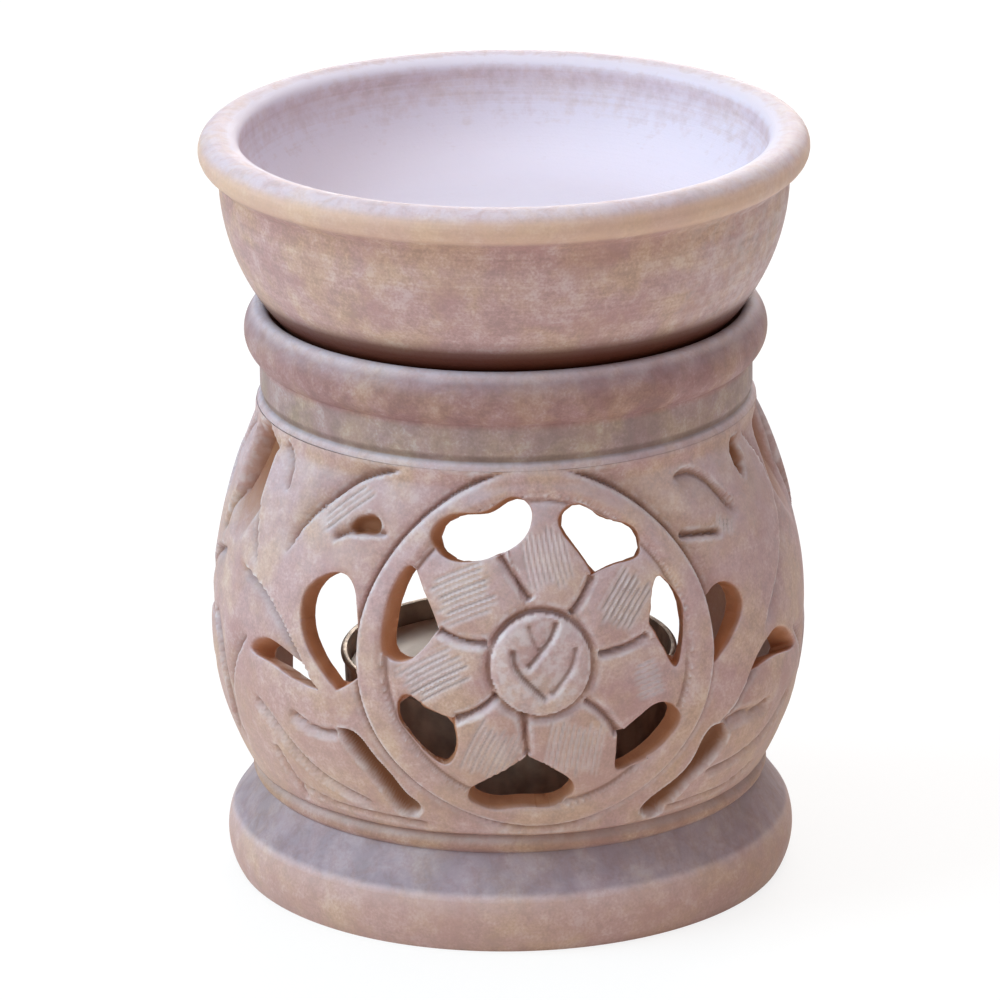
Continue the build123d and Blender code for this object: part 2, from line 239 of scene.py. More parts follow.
def inside(line, places):
    within = np.zeros(len(places), bool)
    across, up = places[:, 0], places[:, 1]
    for start, end in zip(line, line[1:]):
        crosses = (start[1] > up) != (end[1] > up)
        if start[1] == end[1]:
            continue
        meet = start[0] + (up - start[1]) / (end[1] - start[1]) * (end[0] - start[0])
        within ^= crosses & (across < meet)
    return within


def edge_distance(line, places):
    """Distance to a closed outline, below zero inside it."""
    distance = along_line(line, places)[0]
    return np.where(inside(line, places), -distance, distance)


def near_line(line, places, margin):
    """Which places lie in the line's box, made larger by the margin."""
    return np.all((places > line.min(0) - margin) & (places < line.max(0) + margin), axis=1)


class Ripples:
    """Smooth seeded unevenness of a chosen size, from a few crossed waves."""

    def __init__(self, size, seed, waves=14):
        draw = np.random.default_rng(seed)
        direction = draw.normal(size=(waves, 3))
        direction /= np.linalg.norm(direction, axis=1)[:, None]
        self.waves = direction * (2 * np.pi / size) * draw.uniform(0.6, 1.6, (waves, 1))
        self.phase = draw.uniform(0, 2 * np.pi, waves)

    def at(self, points):
        return np.sin(points @ self.waves.T + self.phase).sum(1) / math.sqrt(len(self.phase))


WALL_NOISE = Ripples(3.2, 21)
TURNING_WAVES = Ripples(40, 31)
TURNING_DEPTH = 0.05
SLOW_WAVES = Ripples(26, 11)
QUICK_WAVES = Ripples(7, 12)


# The belly's surface

def arc_through(drop, rise):
    return (drop * drop + rise * rise) / (2 * drop)


LOWER_ARC = arc_through(BELLY_RADIUS - BELLY_FOOT[0], BELLY_LEVEL - BELLY_FOOT[1])
UPPER_ARC = arc_through(BELLY_RADIUS - BELLY_NECK[0], BELLY_NECK[1] - BELLY_LEVEL)


def side_profile(level):
    """Radius of the outer side at a level, and the tilt of the belly's normal there."""
    arc = np.where(level < BELLY_LEVEL, LOWER_ARC, UPPER_ARC)
    sine = np.clip((level - BELLY_LEVEL) / arc, -0.95, 0.95)
    tilt = np.arcsin(sine)
    radius = BELLY_RADIUS - arc + arc * np.cos(tilt)
    bead_middle = (FOOT_TOP + BEAD_TOP) / 2
    bead_half = (BEAD_TOP - FOOT_TOP) / 2
    bulge = 1 - ((level - bead_middle) / bead_half) ** 2
    bead = WAIST_RADIUS + BEAD_SWELL * np.clip(bulge, 0, 1)
    slope = (level - BEAD_TOP) / (BELLY_FOOT[1] - BEAD_TOP)
    groove = WAIST_RADIUS + (BELLY_FOOT[0] - WAIST_RADIUS) * np.clip(slope, 0, 1)
    radius = np.where(level < BELLY_FOOT[1], np.where(level < BEAD_TOP, bead, groove), radius)
    return radius, tilt


def on_side(angle, level, height):
    """Points on the outer side, raised along the belly's normal by height."""
    radius, tilt = side_profile(level)
    reach = radius + height * np.cos(tilt)
    return np.stack([reach * np.sin(angle), -reach * np.cos(angle),
                     level + height * np.sin(tilt)], -1)


def inner_points(sides):
    """Points on the chamber's wall under these places of the outside."""
    angle, level = sides[:, 0], sides[:, 1]
    arc = np.where(level < BELLY_LEVEL, LOWER_ARC, UPPER_ARC)
    tilt = np.arcsin(np.clip((level - BELLY_LEVEL) / arc, -0.95, 0.95))
    radius = BELLY_RADIUS - arc + (arc - WALL) * np.cos(tilt)
    return np.stack([radius * np.sin(angle), -radius * np.cos(angle),
                     BELLY_LEVEL + (arc - WALL) * np.sin(tilt)], -1)


def inner_radius(level):
    """Radius of the chamber at a level."""
    arc = np.where(level < BELLY_LEVEL, LOWER_ARC, UPPER_ARC) - WALL
    fall = level - BELLY_LEVEL
    return BELLY_RADIUS - WALL - arc + np.sqrt(np.maximum(arc ** 2 - fall ** 2, 0))


def to_shares(angle, level):
    across = angle * BELLY_RADIUS / MEDALLION_RADIUS
    up = (level - MEDALLION_LEVEL) / MEDALLION_RADIUS
    return np.stack([across, up], -1)


def folded(shares):
    """Past the side the pattern turns back on itself."""
    across = shares[:, 0]
    turned_back = np.sign(across) * (2 * SIDE_MIRROR_SHARE - np.abs(across))
    past = np.abs(across) > SIDE_MIRROR_SHARE
    return np.stack([np.where(past, turned_back, across), shares[:, 1]], -1), past


def ring_reach(shares, ring):
    """One on the ellipse of the ring's edge, less inside it and more outside."""
    return np.hypot(shares[:, 0] / ring[0], shares[:, 1] / ring[1])


def bud_reach(shares):
    return np.hypot(shares[:, 0], shares[:, 1] + BUD_DROP_SHARE)


def arch_line():
    """The arch in the X and Z plane, from one foot to the other and back."""
    radius = arc_through(ARCH_TOP - ARCH_SPRING, ARCH_TOP_HALF)
    centre = ARCH_TOP - radius
    start = math.atan2(ARCH_SPRING - centre, ARCH_TOP_HALF)
    turn = np.linspace(start, math.pi - start, 60)
    crown = np.stack([radius * np.cos(turn), centre + radius * np.sin(turn)], -1)
    right_foot = (ARCH_HALF_WIDTH, FLOOR_LEVEL)
    left_foot = (-ARCH_HALF_WIDTH, FLOOR_LEVEL)
    return np.vstack([[right_foot], crown, [left_foot, right_foot]])


HOLES = [outline_line(points) for points in PETAL_GAPS + LEAF_GAPS]
ARCH = arch_line()
ARCH_HOLE = 99


def hole_distance(angle, level, points, leaning=0.0):
    """Distance to the nearest hole's edge, below zero inside it, and which hole it is."""
    shares, past = folded(to_shares(angle, level))
    best = np.full(len(angle), 99.0)
    which = np.full(len(angle), -1)

    def take(near, line, places, names):
        distance = edge_distance(line, places)
        closer = distance < best[near]
        best[near] = np.where(closer, distance, best[near])
        which[near] = np.where(closer, names, which[near])

    for index, line in enumerate(HOLES):
        places = shares * MEDALLION_RADIUS - np.array(HOLE_LEANS[index]) * leaning
        near = near_line(line, places, 2.5)
        if index < len(PETAL_GAPS):
            near &= ~past
        if near.any():
            names = index + 100 * past[near] + 1000 * (angle[near] > 0)
            take(near, line, places[near], names)
    near = (points[:, 1] > 0) & (np.abs(points[:, 0]) < ARCH_HALF_WIDTH + 3)
    take(near, ARCH, points[near][:, [0, 2]], ARCH_HOLE)
    return best, which


# Carving on the belly

def run_out(share, fade):
    """Fades a cut out at both ends of its line."""
    return smooth_step(share, 0, fade) * smooth_step(1 - share, 0, fade)


def line_cut(line, places, depth, width, fade=0.12):
    """A V cut along a line, running out at its ends."""
    height = np.zeros(len(places))
    near = near_line(line, places, width)
    if near.any():
        distance, side, share = along_line(line, places[near])
        slope = np.clip(1 - distance / (width / 2), 0, 1) ** 1.3
        height[near] = -depth * run_out(share, fade) * slope
    return height


def line_step(line, places, depth, reach, low_side, fade=0.15):
    """A cut that drops sharply on one side of a line and rises again slowly."""
    height = np.zeros(len(places))
    near = near_line(line, places, 4 * reach)
    if near.any():
        distance, side, share = along_line(line, places[near])
        signed = distance * side * low_side
        drop = np.exp(-np.clip(signed, 0, None) / reach) * smooth_step(signed, -0.35, 0.2)
        groove = 0.45 * hump(signed, 0.25, 0.38)
        lip = 0.16 * hump(signed, -0.55, 0.5)
        height[near] = -depth * run_out(share, fade) * (drop + groove - lip)
    return height


def pocket_cut(points, depth, places):
    """A narrow pocket: its depth, and how far into it each place is, for the cut colour and
    painted shade inside it.
    """
    line = outline_line(points)
    height = np.zeros(len(places))
    in_pocket = np.zeros(len(places))
    near = near_line(line, places, 1)
    if near.any():
        deep = -edge_distance(line, places[near])
        height[near] = -depth * smooth_step(deep, -0.45, 0.55)
        in_pocket[near] = smooth_step(deep, -0.28, 0.12)
    return height, in_pocket


def scratches(places, centre, lean, half_length, half_width, seed, depth):
    """A patch of fine cuts side by side, each a little longer or shorter than the next."""
    draw = np.random.default_rng(seed)
    lean = math.radians(lean)
    offset = places - np.array(centre) * MEDALLION_RADIUS
    along = offset @ np.array([math.cos(lean), math.sin(lean)])
    aside = offset @ np.array([-math.sin(lean), math.cos(lean)])
    across = (aside + SCRATCH_BOW * along ** 2) / SCRATCH_PITCH
    number = np.round(across)
    middle = int(half_width / SCRATCH_PITCH) + 2
    count = 2 * middle + 1
    index = np.clip(number + middle, 0, count - 1).astype(int)
    reach_up = half_length * draw.uniform(0.72, 1.05, count)
    reach_down = half_length * draw.uniform(0.72, 1.05, count)
    strength = draw.uniform(0.6, 1.0, count)
    shape = 0.5 + 0.5 * np.cos(2 * np.pi * (across - number))
    upper_end = smooth_step(reach_up[index] - along, 0, 1.0)
    lower_end = smooth_step(reach_down[index] + along, 0, 1.0)
    sides = smooth_step(half_width - np.abs(aside), 0, 0.6)
    lines = upper_end * lower_end * sides * strength[index] * shape
    return -depth * lines, lines


def hatching(places, patches, first_seed, depth):
    """The depth and the strength of several patches of scratches."""
    height = np.zeros(len(places))
    strength = np.zeros(len(places))
    for index, patch in enumerate(patches):
        cuts, lines = scratches(places, *patch, first_seed + index, depth)
        height += cuts
        strength = np.maximum(strength, lines)
    return height, strength


SCRATCH_PITCH = 0.66
SCRATCH_BOW = 0.012
PETAL_EDGES = [
    [(-0.22, 0.57), (-0.13, 0.44), (-0.05, 0.33)],
    [(-0.565, 0.17), (-0.42, 0.115), (-0.29, 0.11)],
    [(-0.475, -0.31), (-0.33, -0.25), (-0.24, -0.17)],
    [(-0.08, -0.525), (-0.09, -0.40), (-0.10, -0.27)],
    [(0.425, -0.445), (0.36, -0.33), (0.24, -0.22)],
    [(0.62, 0.09), (0.48, 0.045), (0.32, 0.02)],
    [(0.31, 0.44), (0.24, 0.33), (0.17, 0.25)],
]
# Patches of scratches: centre, lean in degrees, half length, half width.
PETAL_SCRATCHES = [
    ((0.05, 0.54), 101, 3.9, 3.1),
    ((-0.43, 0.36), 22, 4.2, 3.2),
    ((-0.58, -0.07), 30, 4.4, 2.8),
    ((-0.27, -0.50), 65, 4.0, 3.3),
    ((0.18, -0.50), 80, 3.9, 3.6),
    ((0.60, -0.15), 12, 2.2, 2.4),
    ((0.49, 0.28), 50, 3.9, 2.9),
]
LEAF_SCRATCHES = [
    ((-1.20, 0.725), 37, 4.6, 1.45),
    ((1.25, 0.545), 66, 1.4, 1.7),
]
# Cuts along an edge: points, depth, reach, low side (1 is left of the line's run).
BUD_STEPS = [
    ([(-0.165, 0.11), (-0.145, -0.01), (-0.08, -0.095), (0.03, -0.205)], 0.80, 1.7, 1),
    ([(-0.075, 0.225), (-0.05, 0.14), (-0.015, 0.07)], 0.35, 0.9, 1),
    ([(0.105, 0.245), (0.06, 0.14), (-0.015, 0.045), (-0.075, -0.03)], 0.75, 1.5, -1),
    ([(0.20, 0.11), (0.175, 0.0), (0.105, -0.11), (0.05, -0.185)], 0.50, 1.4, -1),
]
LEAF_STEPS = [
    ([(-1.60, 0.38), (-1.44, 0.633), (-1.28, 0.766), (-1.12, 0.873), (-0.96, 0.923),
      (-0.80, 0.95)], 0.95, 1.8, 1),
    ([(-1.26, 0.54), (-1.15, 0.60), (-1.03, 0.614), (-0.89, 0.626)], 0.75, 0.9, 1),
    ([(-2.05, 0.26), (-1.87, 0.215), (-1.715, 0.158), (-1.58, 0.066), (-1.42, -0.094),
      (-1.30, -0.25)], 0.8, 1.4, -1),
    ([(-1.92, 0.95), (-1.963, 0.80), (-1.965, 0.664), (-1.93, 0.52), (-1.84, 0.28)],
     0.8, 0.9, -1),
    ([(-1.86, 0.95), (-1.737, 0.865), (-1.706, 0.805), (-1.70, 0.70)], 0.55, 0.8, -1),
    ([(-1.86, -0.09), (-2.005, -0.276), (-2.06, -0.40), (-2.095, -0.58), (-2.05, -0.80)],
     0.8, 1.2, -1),
    ([(0.91, 0.835), (1.00, 0.86), (1.10, 0.852), (1.224, 0.775), (1.315, 0.668),
      (1.40, 0.57)], 0.65, 1.9, -1),
    ([(0.89, 0.555), (1.06, 0.53), (1.22, 0.505)], 0.55, 1.0, 1),
    ([(1.68, 0.955), (1.851, 0.704), (1.866, 0.53), (1.804, 0.333), (1.611, 0.105),
      (1.437, -0.10)], 1.1, 2.4, 1),
    ([(1.46, -0.15), (1.35, -0.274), (1.257, -0.35), (1.198, -0.423), (1.06, -0.51)],
     0.7, 1.2, 1),
    ([(1.84, -0.18), (2.00, -0.34), (2.06, -0.60), (1.98, -0.84)], 0.8, 1.2, 1),
]
# Plain cuts: points, depth, width.
LEAF_GROOVES = [
    ([(-1.50, -0.425), (-1.38, -0.475), (-1.27, -0.494), (-1.14, -0.475)], 1.0, 2.1),
    ([(-1.85, -0.41), (-1.63, -0.552), (-1.475, -0.682), (-1.313, -0.787), (-1.148, -0.85),
      (-0.96, -0.91)], 1.0, 1.9),
    ([(-1.70, -0.68), (-1.64, -0.79), (-1.60, -0.87), (-1.56, -0.99)], 1.1, 2.0),
    ([(0.90, 0.55), (1.06, 0.53), (1.22, 0.505)], 0.8, 1.4),
    ([(1.12, -0.55), (1.28, -0.509), (1.41, -0.527), (1.55, -0.50)], 1.1, 2.6),
    ([(1.00, -0.80), (1.247, -0.784), (1.433, -0.746), (1.60, -0.69), (1.84, -0.53)], 0.9, 1.7),
    ([(0.60, -0.985), (1.00, -0.955), (1.36, -0.937), (1.62, -0.86)], 0.45, 1.1),
    ([(-1.62, -0.86), (-1.36, -0.937), (-1.00, -0.955), (-0.60, -0.985)], 0.45, 1.1),
]
# Pockets: outline, depth.
POCKETS = [
    ([(-1.142, -0.458), (-1.075, -0.46), (-0.961, -0.579), (-0.855, -0.708), (-0.766, -0.823),
      (-0.716, -0.887), (-0.74, -0.918), (-0.806, -0.919), (-0.882, -0.832),
      (-0.978, -0.679), (-1.086, -0.54)], 2.3),
    ([(-1.159, 0.629), (-1.133, 0.672), (-1.067, 0.701), (-0.995, 0.704), (-0.961, 0.669),
      (-0.979, 0.631), (-1.064, 0.615), (-1.135, 0.609)], 1.5),
    ([(1.143, -0.537), (1.029, -0.528), (0.945, -0.664), (0.79, -0.824), (0.649, -0.961),
      (0.726, -0.987), (0.867, -0.878), (1.042, -0.723), (1.146, -0.593)], 2.2),
    ([(1.547, 0.905), (1.506, 0.847), (1.514, 0.777), (1.55, 0.734), (1.599, 0.784),
      (1.608, 0.85), (1.62, 0.902)], 1.5),
]


def flower_height(shares):
    """The ring, the seven petals and the bud inside it."""
    places = shares * MEDALLION_RADIUS
    across, up = shares[:, 0], shares[:, 1]
    inside_ring = (1 - ring_reach(shares, RING_INNER_SHARES)) * MEDALLION_RADIUS
    inside_ring *= RING_INNER_SHARES[1]
    outside_ring = (ring_reach(shares, RING_OUTER_SHARES) - 1) * MEDALLION_RADIUS
    height = -FIELD_DEPTH * smooth_step(inside_ring, -0.25, 0.45)
    # The ring's edges are rounded, and it drops sharply to the leaves except at the bottom.
    on_ring = (inside_ring < 0) & (outside_ring < 0)
    edge = np.minimum(-inside_ring, -outside_ring)
    height += np.where(on_ring, -0.30 * (1 - smooth_step(edge, 0, 0.9)), 0)
    drop = smooth_step(outside_ring, -0.35, 0.2) * np.exp(-np.clip(outside_ring, 0, None) / 2.2)
    groove = 0.4 * hump(outside_ring, 0.2, 0.35)
    height -= 1.05 * (drop + groove) * smooth_step(up, -1.02, -0.93)
    # The bud is a low dome in a moat.
    bud = BUD_RADIUS_SHARE
    round_share = bud_reach(shares)
    from_bud = (round_share - bud) * MEDALLION_RADIUS
    height += np.where(round_share < bud, 0.85 - 0.45 * (round_share / bud) ** 4, 0)
    moat = 0.45 + 0.35 * smooth_step(up, 0.0, 0.25)
    height -= moat * hump(from_bud, 0.45, 0.55)
    # Each petal swells between the cuts beside it and leans a little.
    turn = np.arctan2(up, across)
    edges = []
    for points in PETAL_EDGES:
        height += line_cut(spline(points) * MEDALLION_RADIUS, places, 1.0, 1.7, fade=0.04)
        edges.append(math.atan2(points[1][1], points[1][0]) % FULL_TURN)
    edges.sort()
    in_field = smooth_step(inside_ring, 0.2, 1.2) * smooth_step(from_bud, 0.2, 1.0)
    for start, end in zip(edges, edges[1:] + [edges[0] + FULL_TURN]):
        spot = ((turn - start) % FULL_TURN) / (end - start)
        crown = 0.30 * np.sin(np.pi * np.clip(spot, 0, 1)) + 0.22 * (0.5 - spot)
        height += np.where(spot < 1, crown, 0) * in_field
    cuts, lines = hatching(places, PETAL_SCRATCHES, 40, 0.26)
    keep = smooth_step(inside_ring, 0, 0.8)
    return height + cuts * keep, lines * keep


def leaf_height(places):
    """The leaves: their height, pockets painted as cut faces and shade, scratches and the painted
    shade beside the steps.
    """
    height = np.zeros(len(places))
    pocket = np.zeros(len(places))
    shade = np.zeros(len(places))
    for points, depth, reach, low_side in LEAF_STEPS:
        step = line_step(spline(points) * MEDALLION_RADIUS, places, depth, reach, low_side)
        height += step
        shade = np.maximum(shade, -step / depth)
    for points, depth, width in LEAF_GROOVES:
        height += line_cut(spline(points) * MEDALLION_RADIUS, places, depth, width)
    for points, depth in POCKETS:
        low, in_pocket = pocket_cut(points, depth, places)
        height = np.minimum(height, 0.5 * height + low)
        pocket = np.maximum(pocket, in_pocket)
    cuts, scratched = hatching(places, LEAF_SCRATCHES, 60, 0.28)
    return height + cuts, pocket, scratched, np.clip(shade, 0, 1)


def side_recess(shares):
    """The long hollow behind each outer leaf, deepest at its top, which comes to a point."""
    up = shares[:, 1]
    away = np.abs(np.abs(shares[:, 0]) - SIDE_MIRROR_SHARE - 0.02)
    half = 0.20 * smooth_step(up, 0.15, 0.60)
    deep = (half - away) * MEDALLION_RADIUS
    low = smooth_step(up, 0.20, 0.85)
    under_top = (0.985 - 0.55 * away - up) * MEDALLION_RADIUS
    return -RECESS_DEPTH * smooth_step(deep, -0.6, 1.3) * low * smooth_step(under_top, -0.4, 1.0)


def ring_shade(shares):
    """Painted shade between the ring and the leaves, mostly above and to the right."""
    away = (ring_reach(shares, RING_OUTER_SHARES) - 1) * MEDALLION_RADIUS
    near = smooth_step(3.6 - away, 0, 3.6) * (away > 0)
    side = smooth_step(shares[:, 0], -0.8, 0.4) * smooth_step(shares[:, 1], -0.4, 0.3)
    return 0.34 * near * side


def carving(angle, level):
    """Height of the carved surface over the belly, and how each place is cut, marked, shaded."""
    shares = to_shares(angle, level)
    back, past = folded(shares)
    height, cut, shade, scratched = np.zeros((4, len(angle)))
    front = np.abs(shares[:, 0]) < 1.45
    flower, scratched[front] = flower_height(shares[front])
    height[front] += flower
    on_bud = smooth_step(BUD_RADIUS_SHARE - bud_reach(shares), 0.01, 0.035)
    within = on_bud > 0
    bud_places = shares[within] * MEDALLION_RADIUS
    for points, depth, reach, low_side in BUD_STEPS:
        line = (spline(points) - (0, BUD_DROP_SHARE)) * MEDALLION_RADIUS
        step = line_step(line, bud_places, depth, reach, low_side, fade=0.10)
        height[within] += 0.8 * step * on_bud[within]
    leaves = (np.abs(back[:, 0]) > 0.60) & (ring_reach(back, RING_OUTER_SHARES) > 0.99)
    leaf, cut[leaves], marks, shade[leaves] = leaf_height(back[leaves] * MEDALLION_RADIUS)
    height[leaves] += leaf
    scratched[leaves] = np.maximum(scratched[leaves], marks)
    recess = side_recess(shares)
    cut = np.maximum(cut, -recess / RECESS_DEPTH)
    carved = smooth_step(level, BELLY_FOOT[1], BELLY_FOOT[1] + 0.6)
    carved = carved * smooth_step(BELLY_NECK[1] - level, -0.2, 0.8)
    carved = carved * smooth_step(CARVED_TO_SHARE - np.abs(shares[:, 0]), 0, 0.25)
    flare = NECK_FLARE * smooth_step(level, BELLY_NECK[1] - 1.6, BELLY_NECK[1])
    return (height + recess) * carved + flare, cut * carved, scratched * carved, shade * carved


def sunk_below(angle, level, heights, reach=0.5):
    """How far each place lies below the mean of four places round it."""
    around = np.zeros(len(angle))
    for across, up in ((reach, 0), (-reach, 0), (0, reach), (0, -reach)):
        around += carving(wrapped(angle + across / BELLY_RADIUS), level + up)[0]
    return around / 4 - heights


# Meshes

PAINTS = ("cut", "marks", "dust", "sunk", "powder", "soot")


def new_object(name, data):
    made = bpy.data.objects.new(name, data)
    bpy.context.scene.collection.objects.link(made)
    return made


def loop_shares(points):
    steps = np.linalg.norm(np.diff(np.vstack([points, points[:1]]), axis=0), axis=1)
    return np.concatenate([[0], np.cumsum(steps)]) / steps.sum()


class Surface:
    """Gathers points, faces and per-point paint, then makes one mesh object."""

    def __init__(self):
        self.points = []
        self.paint = []
        self.faces = []
        self.count = 0

    def add(self, points, **paint):
        start = self.count
        self.points.append(points)
        layers = [np.broadcast_to(paint.get(name, 0.0), (len(points),)) for name in PAINTS]
        self.paint.append(np.stack(layers, -1))
        self.count += len(points)
        return np.arange(start, self.count)

    def repaint(self, name, values):
        """Paints the points that were added last."""
        self.paint[-1][:, PAINTS.index(name)] = values

    def face(self, *corners):
        self.faces.append(corners)

    def grid(self, ids, closed=False, flip=False):
        """Four-cornered faces over a table of point numbers, rows by columns."""
        right = np.roll(ids, -1, axis=1) if closed else ids[:, 1:]
        left = ids if closed else ids[:, :-1]
        quads = np.stack([left[:-1], right[:-1], right[1:], left[1:]], -1).reshape(-1, 4)
        if flip:
            quads = quads[:, ::-1]
        self.faces.extend(map(tuple, quads.tolist()))

    def join_points(self, same_points):
        """Makes every face use one number for points that are one place."""
        self.faces = [tuple(same_points.get(corner, corner) for corner in face)
                      for face in self.faces]

    def bridge(self, first, second):
        """Triangles between two closed loops of points that run the same way."""
        points = np.vstack(self.points)
        first, second = list(first), list(second)
        start = points[first[0]]
        nearest = int(np.argmin(np.linalg.norm(points[second] - start, axis=1)))
        second = second[nearest:] + second[:nearest]
        at_first = loop_shares(points[first])
        at_second = loop_shares(points[second])
        i = j = 0
        while i < len(first) or j < len(second):
            step_first = j >= len(second) or (
                i < len(first) and at_first[i + 1] <= at_second[j + 1])
            a, b = first[i % len(first)], second[j % len(second)]
            if step_first:
                self.face(a, first[(i + 1) % len(first)], b)
                i += 1
            else:
                self.face(a, second[(j + 1) % len(second)], b)
                j += 1

    def make(self, name, material, sharp=50):
        mesh = bpy.data.meshes.new(name)
        points = np.vstack(self.points) * MM
        mesh.from_pydata(points.tolist(), [], self.faces)
        paint = np.vstack(self.paint)
        for index, layer in enumerate(PAINTS):
            values = mesh.attributes.new(layer, "FLOAT", "POINT")
            values.data.foreach_set("value", paint[:, index].astype(np.float32))
        mesh.polygons.foreach_set("use_smooth", np.ones(len(mesh.polygons), bool))
        mesh.set_sharp_from_angle(angle=math.radians(sharp))
        mesh.update()
        mesh.materials.append(material)
        return new_object(name, mesh)


def table_cells(ids):
    """Four-cornered cells over a table of point numbers."""
    return np.stack([ids[:-1, :-1], ids[:-1, 1:], ids[1:, 1:], ids[1:, :-1]], -1).reshape(-1, 4)


def clipped(surface, cells, odd_cells, depth, sides, same_points):
    """Faces for the cells, cut off where depth passes zero.

    sides holds each point's angle and level, and same_points the number of a point that
    lies in the same place. Returns the angles and levels of the points on the cut and,
    for each of these points, the one that follows it along the edge."""
    new_sides = []
    crossing = {}
    follows = {}
    first_new = len(sides)

    def cross(a, b):
        key = tuple(sorted((same_points.get(a, a), same_points.get(b, b))))
        if key not in crossing:
            share = depth[a] / (depth[a] - depth[b])
            share = min(max(share, 0.12), 0.88)
            crossing[key] = first_new + len(new_sides)
            new_sides.append(sides[a] + (sides[b] - sides[a]) * share)
        return crossing[key]

    held = depth[cells] > 0
    whole = held.all(1)
    surface.faces.extend(map(tuple, cells[whole].tolist()))
    mixed = cells[~whole & held.any(1)].tolist()
    for cell in mixed + odd_cells:
        keep = [depth[corner] > 0 for corner in cell]
        if all(keep):
            surface.face(*cell)
            continue
        count = len(cell)
        starts = [k for k in range(count) if keep[k] and not keep[k - 1]]
        for start in starts:
            ring = [cross(cell[start - 1], cell[start])]
            k = start
            while keep[k % count]:
                ring.append(cell[k % count])
                k += 1
            ring.append(cross(cell[(k - 1) % count], cell[k % count]))
            surface.face(*ring)
            follows[ring[-1]] = ring[0]
    return np.array(new_sides).reshape(-1, 2), follows


def chains(follows):
    """Open runs, and then closed loops, of cut points in order."""
    left = dict(follows)
    arrivals = set(left.values())
    open_starts = [point for point in left if point not in arrivals]
    runs = []
    while left:
        closed = not open_starts
        run = [next(iter(left)) if closed else open_starts.pop(0)]
        while run[-1] in left:
            run.append(left.pop(run[-1]))
        runs.append((run[:-1] if closed else run, closed))
    return runs


def into_hole(places):
    """Unit steps from a closed loop's points towards the inside of the loop."""
    ahead = np.roll(places, -2, axis=0) - np.roll(places, 2, axis=0)
    ahead = ahead / np.maximum(np.linalg.norm(ahead, axis=1), 1e-9)[:, None]
    across, up = places[:, 0], places[:, 1]
    area = np.sum(across * np.roll(up, -1) - np.roll(across, -1) * up)
    inward = np.stack([-ahead[:, 1], ahead[:, 0]], -1)
    return inward if area > 0 else -inward


def hole_lean(name):
    """The lean of a hole by its name, turned over for its copy past the side."""
    lean = np.array(HOLE_LEANS[name % 100])
    if name // 100 % 10:
        lean = lean * (-1, 1)
    return lean


def arch_wall_points(angle, level, deep, heights):
    """The arch is cut straight through along Y, so its walls keep their X and Z."""
    level = np.maximum(level, FLOOR_LEVEL)
    outer = on_side(angle, level, heights)
    x, z = outer[:, 0], np.maximum(outer[:, 2], FLOOR_LEVEL)
    radius = inner_radius(z)
    inner_y = np.sqrt(np.maximum(radius ** 2 - x ** 2, 0.04))
    share = deep / WALL
    return np.stack([x, outer[:, 1] + (inner_y - outer[:, 1]) * share, z], -1)


# A hole's wall: how far each ring lies into the hole, and how deep.
WALL_STEPS = ((0.09, 0.07), (0.15, 0.17), (0.17, 0.36), (0.17, 1.1), (0.17, 2.0), (0.17, WALL))


def hole_wall(surface, ring_ids, sides, heights, name):
    """Rings of points from an edge on the outside to the chamber side of the wall."""
    is_arch = name == ARCH_HOLE
    lean = np.zeros(2) if is_arch else hole_lean(name)
    places = np.stack([sides[:, 0] * BELLY_RADIUS, sides[:, 1]], -1)
    inward = into_hole(places)
    rows = [ring_ids]
    for into, deep in WALL_STEPS:
        spots = np.column_stack([places, np.full(len(places), 2 * deep)])
        wave = 0.13 * WALL_NOISE.at(spots)
        amount = into + wave * min(deep / 1.3, 1) * (deep < WALL)
        moved = places + inward * amount[:, None] + lean * (deep / WALL)
        angle, level = moved[:, 0] / BELLY_RADIUS, moved[:, 1]
        if is_arch:
            points = arch_wall_points(angle, level, deep, heights)
        else:
            points = on_side(angle, level, heights * max(0, 1 - deep / WALL) - deep)
        rows.append(surface.add(points, cut=min(1.0, deep / 0.5)))
    for upper, lower in zip(rows, rows[1:]):
        surface.grid(np.stack([lower, upper]), closed=True, flip=True)
    return rows[-1]


def columns_between(start, end, pitch):
    count = max(2, int(round((end - start) * BELLY_RADIUS / pitch)))
    return np.linspace(start, end, count + 1)


def seam_cells(fine, coarse, step, fine_first):
    """Cells of five corners between a fine column and the next, coarser one."""
    cells = []
    for row in range(len(coarse) - 1):
        low, high = row * step, (row + 1) * step
        between = [fine[k] for k in range(low, high + 1)]
        if fine_first:
            cells.append([coarse[row], coarse[row + 1]] + between[::-1])
        else:
            cells.append([coarse[row + 1], coarse[row]] + between)
    return [[int(corner) for corner in cell] for cell in cells]


